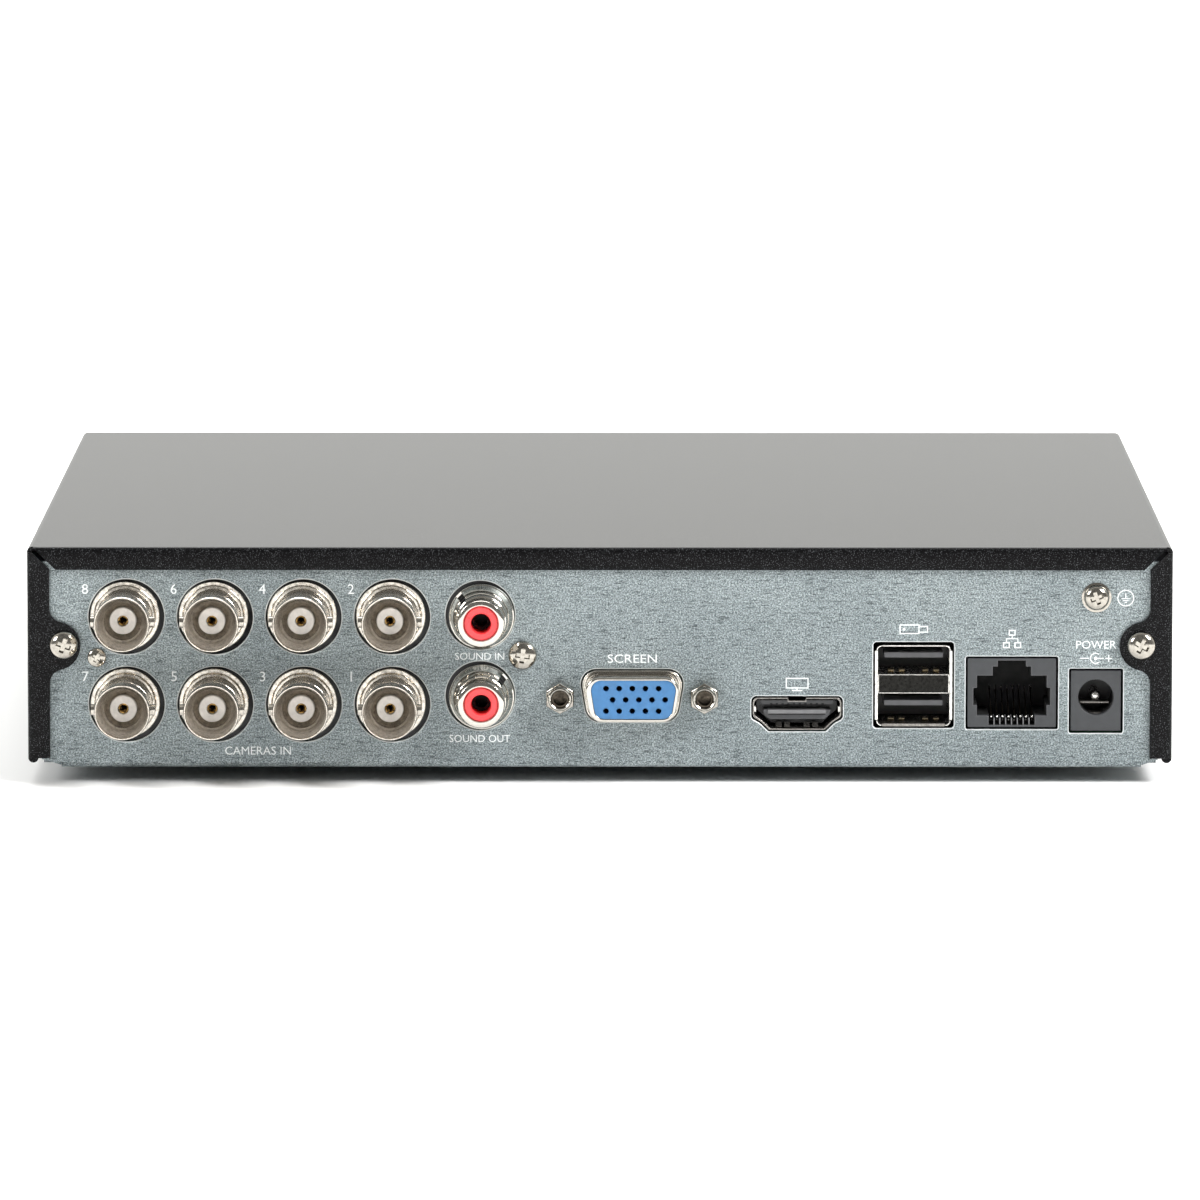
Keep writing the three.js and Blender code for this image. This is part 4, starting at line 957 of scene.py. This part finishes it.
def digital_shell():
    place = (DIGITAL_X, PANEL_Y + 0.2, DIGITAL_Z)
    front = place[1]
    bm = bmesh.new()
    add_plate(bm, "y", digital_outline(-0.24), front, PANEL_Y + 11, [digital_outline(-0.5)], edge=0.07)
    bm = carve(bm, add_block(bmesh.new(), place, span(0, 1.6), (-1, 4), (2.35, 4)))
    tab = [(-1.65, 2.5), (-1.5, 2.5), (-1.5, 2.25), (1.5, 2.25), (1.5, 2.5), (1.65, 2.5), (1.65, 2.1)]
    add_prism(bm, "y", placed([*tab, (-1.65, 2.1)], DIGITAL_X, DIGITAL_Z), front, front + 6)
    looks = {"replaces": ["digital_video_shell"], "rim": DULL_STEEL, "angle": 40}
    show(bm, "digital_shell", DULL_STEEL, "nickel_plate", **looks)
    bars = bmesh.new()
    for side in (-1, 1):
        add_block(bars, place, span(side * 7.35, 0.17), (0.02, 2), (0.3, 1.25))
    show(bars, "digital_shell_springs", TIN, "nickel_plate", soft=0.04)


def digital_tongue():
    front = PANEL_Y + 0.9
    place = (DIGITAL_X, front, DIGITAL_Z)
    bm = add_prism(bmesh.new(), "y", digital_outline(-0.9), front + 3.5, front + 9)
    ceiling = [(-6.5, 2.25), (6.5, 2.25), (6.3, 1.45), (-6.3, 1.45)]
    add_prism(bm, "y", placed(ceiling, DIGITAL_X, DIGITAL_Z), front + 0.7, front + 8)
    trapezoid = [(-5.9, 0.55), (-5.8, -0.3), (-4.8, -1.15), (4.8, -1.15), (5.8, -0.3), (5.9, 0.55)]
    add_prism(bm, "y", placed(trapezoid, DIGITAL_X, DIGITAL_Z), front + 0.6, front + 8)
    show(bm, "digital_core", TONGUE_GREY, "black_moulding", replaces=["digital_video_tongue"], soft=0.1)
    # The blade is a lighter grey than the tongue behind it: painted light on its front.
    blade = add_block(bmesh.new(), place, span(0, 5.1), (-0.3, 6), (-0.05, 0.6))
    show(blade, "digital_tongue_blade", LIT_GREY, "black_moulding", soft=0.06)
    # Near-black slots over the contacts and a near-black strip under the blade: painted shade.
    gaps = bmesh.new()
    for i in range(10):
        add_block(gaps, place, span(i - 4.5, 0.2), (0.66, 3), (1.42, 1.68))
    add_block(gaps, place, span(0, 5.0), (0.55, 1), (-0.35, -0.1))
    show(gaps, "digital_contact_gaps_painted_shade", SHADE_FILL, "black_moulding")
    contacts = bmesh.new()
    points = placed([(-0.3, -2.35), (0.7, -1.65), (3.5, -2.3)], front, DIGITAL_Z)
    for x in (-3.2, -1.7, 1.7, 3.2):
        add_strip(contacts, points, 0.12, *span(DIGITAL_X + x, 0.5))
    show(contacts, "digital_springs", DULL_STEEL, "nickel_plate")


digital_shell()
digital_tongue()

# ---------- double USB socket ----------

USB_FRONT = PANEL_Y - 0.15
USB_SIDE, USB_TOP, USB_BOTTOM = 6.75, 7.05, -7.25
USB_DIVIDER = (-1.45, 1.9)
USB_TONGUES = (-3.25, 5.18)
USB_FLOORS = (USB_BOTTOM + 0.6, USB_DIVIDER[1])


def usb_shell():
    """Thin shell walls with open corners, where a narrow lip runs round."""
    place = (USB_X, USB_FRONT, USB_Z)
    behind = PANEL_Y + 13
    depth = behind - USB_FRONT
    half = USB_SIDE - 1.25
    bm = bmesh.new()
    for side in (-1, 1):
        wall = span(side * (USB_SIDE - 0.25), 0.25)
        add_block(bm, place, wall, (0, depth), (USB_BOTTOM + 1.15, USB_TOP - 0.95))
        for top, height in ((1, USB_TOP), (-1, USB_BOTTOM)):
            x, z = USB_X + side * (USB_SIDE - 1.2), USB_Z + height - top * 1.0
            start = {(1, 1): 0, (-1, 1): 90, (-1, -1): 180, (1, -1): 270}[side, top]
            lip = arc(x, z, 0.95, start, start + 90, 8) + arc(x, z, 0.75, start + 90, start, 8)
            add_prism(bm, "y", lip, USB_FRONT + 0.2, behind)
    add_block(bm, place, span(0, half), (0, depth), (USB_TOP - 0.22, USB_TOP))
    low, high = USB_DIVIDER
    inside = (0.15, depth - 1)
    add_block(bm, place, span(0, 6.2), inside, (low, low + 0.16))
    add_block(bm, place, span(0, 6.2), inside, (high - 0.14, high))
    for side in (-1, 1):
        add_block(bm, place, span(side * 6.13, 0.07), inside, (low, high))
    show(bm, "usb_shell", TIN, "nickel_plate", replaces=["usb_socket_shell"], soft=0.05)
    strip = add_block(bmesh.new(), place, span(0, half), (0, depth), (USB_BOTTOM, USB_BOTTOM + 0.5))
    show(strip, "usb_shell_bottom", DULL_STEEL, "nickel_plate", soft=0.05)
    # A near-black face set back between the two sheets: painted shade in the gap.
    divider = add_block(bmesh.new(), place, span(0, 6.1), (0.4, depth - 1), (low + 0.1, high - 0.1))
    show(divider, "usb_divider_painted_shade_face", DIVIDER_SHADE, "nickel_plate", soft=0.05)


def usb_tongues():
    place = (USB_X, PANEL_Y, USB_Z)
    back = add_block(bmesh.new(), place, span(0, 6.3), (11, 14), span(0, 6.7))
    show(back, "usb_back", SOCKET_BLACK, "black_moulding", replaces=["usb_socket_insulator"], soft=0.1)
    tongues = bmesh.new()
    springs = bmesh.new()
    for height in USB_TONGUES:
        add_block(tongues, place, span(0, 5.15), (1.1, 12), span(height, 0.48))
    for height in USB_FLOORS:
        bend = [(0.3, 0.75), (0.9, 0.3), (1.5, 0.35), (2.4, 0.85), (5, 0.1)]
        for x in (-3.95, -2.05, 2.05, 3.95):
            add_strip(springs, placed(bend, USB_FRONT, USB_Z + height), 0.1, *span(USB_X + x, 0.5))
    show(tongues, "usb_tongues", TONGUE_GREY, "black_moulding", soft=0.12)
    show(springs, "usb_springs", SPRING, "nickel_plate")


usb_shell()
usb_tongues()

# ---------- network socket ----------


def lan_mouth():
    """The stepped mouth: latch notch on top, side shoulders, contact bay at the bottom."""
    right = [(4.0, -5.7), (4.0, -4.0), (6.08, -4.0), (6.08, -2.15), (6.7, -2.15), (6.7, 0.85), (6.08, 0.85)]
    right += [(6.08, 3.0), (3.33, 3.0), (3.33, 4.6), (2.45, 4.6), (2.45, 5.65)]
    return placed(mirrored(right), LAN_X, LAN_Z)


def lan_socket():
    front = PANEL_Y + 0.3
    place = (LAN_X, front, LAN_Z)
    face = rounded_rect(LAN_X, LAN_Z, 15.5, 12.2, 0.2, 2)
    bm = bmesh.new()
    add_plate(bm, "y", face, front, front + 13, [lan_mouth()], edge=0.15, hole_edge=0.16, steps=2)
    for side in (-1, 1):
        add_block(bm, place, span(side * 4.3, 0.5), (-0.02, 0.4), (4.75, 5.9))
    # The mouth's rounded rim wears a lighter grey than the housing: a painted highlight along its edges.
    show(bm, "lan_housing", SOCKET_GREY, "black_moulding", replaces=["lan_socket_housing"], rim=TONGUE_GREY)
    # A near-black lining round the mouth and a near-black back wall: painted shade inside the socket.
    back = add_prism(bmesh.new(), "y", grown(lan_mouth(), 0.2), front + 12, front + 18)
    add_prism(back, "y", grown(lan_mouth(), 0.3), front + 1.4, front + 12, [grown(lan_mouth(), -0.04)])
    show(back, "lan_painted_shade_lining", SHADE_FILL, "black_moulding")
    ribs, contacts, wires = bmesh.new(), bmesh.new(), bmesh.new()
    foot = [(1.2, -4.9), (0.7, -4.4), (1.3, -4.15)]
    slope = [(1.3, -4.15), (9.0, -0.6)]
    tip = [(9.0, -0.6), (9.4, 0.1)]
    for i in range(8):
        x = LAN_X - 3.57 + i * 1.02
        if i < 7:
            add_block(ribs, (x, front, LAN_Z), (0.42, 0.6), (0.3, 5), (-5.68, -4.5))
        bead = Matrix.Translation((x, front + 0.6, LAN_Z - 4.25))
        bmesh.ops.create_uvsphere(contacts, u_segments=12, v_segments=8, radius=0.22, matrix=bead)
        for target, stretch, radius in ((contacts, foot, 0.15), (wires, slope, 0.12), (contacts, tip, 0.13)):
            add_wire(target, [(x, y, z) for y, z in placed(stretch, front, LAN_Z)], radius)
    # The ribs are a lighter grey than the housing: painted light on their front ends.
    show(ribs, "lan_ribs", LIT_GREY, "black_moulding")
    show(contacts, "lan_contacts", TIN, "nickel_plate")
    # The contact wires deep in the mouth are dark brown metal: painted shade.
    show(wires, "lan_contact_wires_painted_shade", SHADED_METAL, "nickel_plate")


lan_socket()

# ---------- power socket ----------


def power_socket():
    x, z, front = POWER_X, POWER_HOLE_Z, PANEL_Y + 0.45
    face = rounded_rect(x, POWER_Z, 8.85, 10.7, 0.2, 2)
    hole = circle(x, z, 3.12, 56)
    bm = add_plate(bmesh.new(), "y", face, front, front + 9.5, [hole], edge=0.15, hole_edge=0.12)
    add_block(bm, (x, front, 0), span(0, 4.4), (9.4, 13), (BOARD_TOP, POWER_Z + 5.3))
    looks = {"replaces": ["power_socket_housing"], "rim": SOCKET_GREY}
    show(bm, "power_housing", SOCKET_GREY, "black_moulding", **looks)
    lining = [(3.16, -1), (3.16, -9.8), (0, -9.8), (0, -9.3), (3.02, -9.3), (3.02, -1)]
    show(add_lathe(bmesh.new(), lining, x, z, 56), "power_lining", SOCKET_BLACK, "black_moulding")
    tip = [(0, -2.6), (0.4, -2.66), (0.72, -2.9), (0.88, -3.4), (0.88, -12), (0, -12)]
    pin = add_lathe(bmesh.new(), tip, x, z, 32)
    show(pin, "power_pin", TIN, "nickel_plate", replaces=["power_socket_pin"])
    leaf = bmesh.new()
    curl = arc(front + 2.6, z - 1.2, 0.25, 250, 90, 8)
    add_strip(leaf, [*curl, (front + 9, z - 1.5)], 0.08, x - 2.6, x + 2.4)
    add_strip(leaf, [(front + 1.0, z - 2.92), (front + 3.2, z - 2.8)], 0.1, x - 1.3, x + 1.3)
    show(leaf, "power_leaf_contact", DULL_STEEL, "nickel_plate")


power_socket()

# ---------- printed labels ----------

INK_LIFT = 0.02


def add_stroke(bm, points, width):
    """A printed line through (x, z) points, with mitred corners; it closes when its ends meet."""
    points = [Vector(p) for p in points]
    closed = (points[0] - points[-1]).length < 1e-6
    if closed:
        points.pop()
    count = len(points)
    rails = []
    for i, here in enumerate(points):
        before = points[i - 1] if closed or i else 2 * here - points[1]
        after = points[(i + 1) % count] if closed or i < count - 1 else 2 * here - points[i - 1]
        ahead, onward = (here - before).normalized(), (after - here).normalized()
        mitre = Vector((ahead.y + onward.y, -ahead.x - onward.x))
        reach = mitre * width / mitre.length_squared
        rails.append([bm.verts.new((p.x, PANEL_Y - INK_LIFT, p.y)) for p in (here + reach, here - reach)])
    pairs = list(zip(rails, rails[1:]))
    if closed:
        pairs.append((rails[-1], rails[0]))
    for a, b in pairs:
        bm.faces.new((a[0], b[0], b[1], a[1]))


def box_points(x, z, half_width, half_height):
    left, right, low, high = x - half_width, x + half_width, z - half_height, z + half_height
    return [(left, low), (left, high), (right, high), (right, low), (left, low)]


def add_dot(bm, x, z, radius):
    bm.faces.new([bm.verts.new((a, PANEL_Y - INK_LIFT, b)) for a, b in circle(x, z, radius, 20)])


def add_text(bm, words, x, z, height, width=None):
    """Words centred on (x, z), in capitals of the given height; a width stretches them."""
    curve = bpy.data.curves.new("words", "FONT")
    curve.body = words
    curve.size = 1
    curve.resolution_u = 3
    curve.fill_mode = "FRONT"
    obj = link(curve, "words")
    mesh = obj.evaluated_get(bpy.context.evaluated_depsgraph_get()).to_mesh()
    xs = [v.co.x for v in mesh.vertices]
    ys = [v.co.y for v in mesh.vertices]
    z_scale = height / (max(ys) - min(ys))
    x_scale = width / (max(xs) - min(xs)) if width else z_scale
    x_mid, y_mid = (max(xs) + min(xs)) / 2, (max(ys) + min(ys)) / 2
    start = len(bm.verts)
    bm.from_mesh(mesh)
    bm.verts.ensure_lookup_table()
    for vert in bm.verts[start:]:
        a, b = vert.co.x - x_mid, vert.co.y - y_mid
        vert.co = (x + a * x_scale, PANEL_Y - INK_LIFT, z + b * z_scale)
    bpy.data.objects.remove(obj)
    bpy.data.curves.remove(curve)


def labels():
    bm = bmesh.new()
    for number, (x, z) in VIDEO_SOCKETS.items():
        add_text(bm, str(number), x - 6.95, z + 4.7, 1.75)
    bottom = SKIRT + 2.14
    add_text(bm, "CAMERAS IN", -59.8, bottom, 1.45, 11.5)
    audio_x = AUDIO_SOCKETS["in"][0]
    add_text(bm, "SOUND IN", audio_x, SKIRT + 18.8, 1.25, 8.6)
    add_text(bm, "SOUND OUT", audio_x, SKIRT + 4.3, 1.3, 10.6)
    add_text(bm, "SCREEN", VGA_X, SKIRT + 18.4, 1.5, 8.6)
    add_text(bm, "POWER", POWER_X, SKIRT + 20.9, 1.4, 7.0)
    polarity_symbol(bm, POWER_X, SKIRT + 18.5)
    earth_symbol(bm, POWER_X + 5.1, SKIRT + 29.1)
    screen_symbol(bm, DIGITAL_X, SKIRT + 13.8)
    memory_stick_symbol(bm, USB_X, SKIRT + 23.6)
    network_symbol(bm, LAN_X, SKIRT + 21.9)
    obj = link(finish_mesh(bm, "panel_labels"), "panel_labels")
    obj.data.materials.append(INK)
    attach(obj, "chassis")


def polarity_symbol(bm, x, z):
    """Minus, a dot in an open ring, and plus."""
    line = 0.18
    add_stroke(bm, [(x - 2.8, z), (x - 1.3, z)], line)
    add_stroke(bm, arc(x - 0.1, z, 0.9, 50, 310, 18), line)
    add_dot(bm, x - 0.1, z, 0.3)
    add_stroke(bm, [(x + 0.24, z), (x + 1.3, z)], line)
    add_stroke(bm, [(x + 1.6, z), (x + 2.8, z)], line)
    for side in (-1, 1):
        add_stroke(bm, [(x + 2.2, z + side * line / 2), (x + 2.2, z + side * 0.62)], line)


def earth_symbol(bm, x, z):
    add_stroke(bm, arc(x, z, 1.38, 0, 360, 36), 0.17)
    add_stroke(bm, [(x, z + 0.85), (x, z - 0.035)], 0.15)
    for k, half in enumerate((0.75, 0.48, 0.2)):
        add_stroke(bm, [(x - half, z - 0.1 - k * 0.33), (x + half, z - 0.1 - k * 0.33)], 0.13)


def screen_symbol(bm, x, z):
    """A wide screen on its stand."""
    add_stroke(bm, box_points(x, z + 0.3, 1.9, 0.85), 0.2)
    add_stroke(bm, [(x, z - 0.65), (x, z - 0.9)], 0.2)
    add_stroke(bm, [(x - 0.9, z - 1.0), (x + 0.9, z - 1.0)], 0.2)


def memory_stick_symbol(bm, x, z):
    """A memory stick lying on its side."""
    add_stroke(bm, box_points(x - 0.75, z, 1.65, 0.75), 0.2)
    add_stroke(bm, [(x + 1.0, z + 0.5), (x + 2.4, z + 0.5), (x + 2.4, z - 0.5), (x + 1.0, z - 0.5)], 0.2)
    add_dot(bm, x - 1.7, z, 0.25)


def network_symbol(bm, x, z):
    """One box over two boxes, joined by lines."""
    for bx, bz in ((x, z + 1.1), (x - 1.0, z - 1.1), (x + 1.0, z - 1.1)):
        add_stroke(bm, box_points(bx, bz, 0.5, 0.42), 0.2)
    add_stroke(bm, [(x, z + 0.58), (x, z + 0.13)], 0.16)
    add_stroke(bm, [(x - 1.0, z - 0.58), (x - 1.0, z + 0.05), (x + 1.0, z + 0.05), (x + 1.0, z - 0.58)], 0.16)


labels()

# ---------- parts on the main board and the drive's lid ----------

# x, y, width, depth, height, leg pitch
CHIPS = [
    (-76, -55, 12, 12, 1.4, 0.8),
    (-58, -55, 12, 12, 1.4, 0.8),
    (-40, -55, 12, 12, 1.4, 0.8),
    (54, -42, 9, 13, 1.1, 0),
    (67, -42, 9, 13, 1.1, 0),
    (-28, -66, 5, 4, 1.5, 1.27),
    (82, -38, 6, 5, 1.6, 1.27),
    (70, -62, 13, 8, 4.5, 1.8),
    (4, -70, 8, 5, 1.5, 0.65),
    (38, -70, 5, 5, 1.1, 0.5),
]
CANS = [(86, -62, 3.15, 7.5), (86, -51, 3.15, 7.5), (56, -62, 2.6, 6), (-20, -58, 4, 8), (-48, -36, 3.15, 7)]


def board_chips():
    bodies, legs = bmesh.new(), bmesh.new()
    for x, y, width, depth, height, pitch in CHIPS:
        outline = rounded_rect(x, y, width, depth, 0.3, 2)
        add_plate(bodies, "z", outline, BOARD_TOP + height, BOARD_TOP, edge=0.12)
        count = int((width - 1) / pitch) if pitch else -1
        for i in range(count + 1):
            for side in (-1, 1):
                place = (x + (i - count / 2) * pitch, y + side * (depth / 2 + 0.4), BOARD_TOP)
                add_block(legs, place, span(0, 0.16), span(0, 0.5), (0, 0.4))
    for x in sorted({x for x, _ in VIDEO_SOCKETS.values()} | {-21, -12, 12, 24, 48, 60}):
        for k in range(4):
            place = (x - 2.4 + k * 1.6, -66 + (k % 2) * 2.6, BOARD_TOP)
            add_block(bodies, place, span(0, 0.35), span(0, 0.5), (0, 0.45))
            for side in (-1, 1):
                add_block(legs, place, span(0, 0.38), span(side * 0.65, 0.15), (0, 0.48))
    show(bodies, "board_chips", SOCKET_BLACK, "black_moulding")
    show(legs, "board_chip_legs", TIN, "nickel_plate")


def board_cans():
    """Upright capacitors with a rolled neck, and two coils."""
    cans, coils = bmesh.new(), bmesh.new()
    for x, y, r, h in CANS:
        top = [(0, h - 0.3), (r * 0.76, h - 0.3), (r * 0.84, h), (r - 0.25, h), (r, h - 0.25)]
        add_upright(cans, [*top, (r, 1.5), (r - 0.3, 1.15), (r, 0.8), (r, 0.05), (0, 0.05)], x, y, BOARD_TOP)
    for x in (80, 60):
        neck = [(2.9, 2.8), (2.3, 2.6), (2.3, 0.9), (2.9, 0.7)]
        profile = [(0, 3.4), (2.6, 3.4), (2.9, 3.1), *neck, (2.9, 0.05), (0, 0.05)]
        add_upright(coils, profile, x, -29, BOARD_TOP)
    show(cans, "board_capacitors", CAST_ALUMINIUM, "nickel_plate")
    show(coils, "board_coils", SOCKET_GREY, "black_moulding")


def drive_lid_details():
    """A blank label, a pressed ring over the spindle and six screws with star recesses."""
    top = box_mm("hdd_lid")[1].z
    hub_low, hub_high = box_mm("hdd_spindle_hub")
    label = bmesh.new()
    add_plate(label, "z", rounded_rect(-24, 38, 56, 78, 2.5), top + 0.12, top, edge=0.05)
    show(label, "drive_blank_label", PAPER, "white_moulding")
    metal = bmesh.new()
    ring = [(17.5, 0.02), (17, 0.4), (14.5, 0.4), (14, 0.02)]
    add_upright(metal, ring, (hub_low.x + hub_high.x) / 2, (hub_low.y + hub_high.y) / 2, top, 64)
    for x in (-55.5, 12, 79.5):
        for y in (-7.3, 83.3):
            recess = [star(x, y, 1.15, 0.8)]
            add_plate(metal, "z", circle(x, y, 2.1, 28), top + 0.7, top, recess, edge=0.2, hole_edge=0.05)
    show(metal, "drive_lid_ring_and_screws", SCREW, "bright_screw")


board_chips()
board_cans()
drive_lid_details()

# ---------- CAD nodes that keep their own shape ----------

CAD_LOOKS = {
    "front_bezel": (BLACK_PLASTIC, 0.5),
    "indicator_light_pipe": (CLEAR, 0.1),
    "indicator_board": (CIRCUIT, 0.05),
    **{f"foot_{end}_{side}": (RUBBER, 0.3) for end in ("rear", "front") for side in ("left", "right")},
    "video_socket_housing": (SOCKET_BLACK, 0.3),
    "audio_socket_housing": (SOCKET_BLACK, 0.3),
    "main_board": (CIRCUIT, 0.05),
    "heat_sink": (FIN_ALUMINIUM, 0.1),
    "clock_battery": (STEEL, 0.3),
    "hdd_base": (CAST_ALUMINIUM, 0.4),
    "hdd_lid": (STEEL, 0.2),
    "hdd_circuit_board": (CIRCUIT, 0.05),
    "hdd_platter": (DISC_MIRROR, 0.1),
    "hdd_spindle_hub": (CAST_ALUMINIUM, 0.15),
    "hdd_actuator_arm": (CAST_ALUMINIUM, 0.15),
    "hdd_magnet_yoke": (NICKEL, 0.2),
    "drive_data_lead": (DATA_RED, 0.3),
    "drive_power_lead": (POWER_BLACK, 0.4),
}

for node_name, (material, width) in CAD_LOOKS.items():
    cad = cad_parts[node_name]
    cad.data.materials.clear()
    cad.data.materials.append(material)
    soften(cad, width)

# ---------- floor, light and camera ----------


def studio():
    bpy.ops.mesh.primitive_plane_add(size=40, location=(0, 8, -0.0002))
    floor = bpy.context.object
    floor.name = "floor"
    material, tree, shader = blank("pale_floor")
    shader.inputs["Base Color"].default_value = (0.96, 0.96, 0.96, 1)
    shader.inputs["Roughness"].default_value = 0.9
    shader.inputs["Specular IOR Level"].default_value = 0.1
    floor.data.materials.append(material)
    sky()

    for name, place, size, power in (
        ("key_right", (1.5, -1.3, 1.5), 0.8, 76),
        ("fill_left", (-1.7, -1.4, 1.1), 0.8, 29),
        ("back_top", (0, 1.8, 2.2), 2.0, 45),
    ):
        light = bpy.data.lights.new(name, "AREA")
        light.size = size
        light.energy = power
        lamp = link(light, name)
        lamp.location = place
        lamp.rotation_euler = (Vector() - Vector(place)).to_track_quat("-Z", "Y").to_euler()


def sky():
    """A white room: bright behind the recorder and above it, dimmer in front."""
    world = bpy.data.worlds.new("studio")
    bpy.context.scene.world = world
    world.use_nodes = True
    tree = world.node_tree
    background = tree.nodes["Background"]
    background.inputs["Color"].default_value = (1, 1, 0.965, 1)
    direction = node(tree, "ShaderNodeTexCoord")
    parts = node(tree, "ShaderNodeSeparateXYZ")
    tree.links.new(direction.outputs["Generated"], parts.inputs["Vector"])
    tree.links.new(spread(tree, parts.outputs["Y"], -0.5, 0.7, 0.23, 1.62), background.inputs["Strength"])


CAMERA_PLACE = (0.0026, -1.79685, 0.24852)
CAMERA_PITCH, CAMERA_YAW, CAMERA_ROLL = 7.218, 0.089, -0.018
CAMERA_LENS = 295.8


def camera():
    data = bpy.data.cameras.new("camera")
    data.sensor_width = 36
    data.lens = CAMERA_LENS
    data.clip_start = 0.05
    data.clip_end = 100
    obj = link(data, "camera")
    obj.location = CAMERA_PLACE
    obj.rotation_euler = [math.radians(angle) for angle in (90 - CAMERA_PITCH, CAMERA_ROLL, CAMERA_YAW)]
    bpy.context.scene.camera = obj


studio()
camera()
bpy.context.scene.view_settings.view_transform = "Standard"
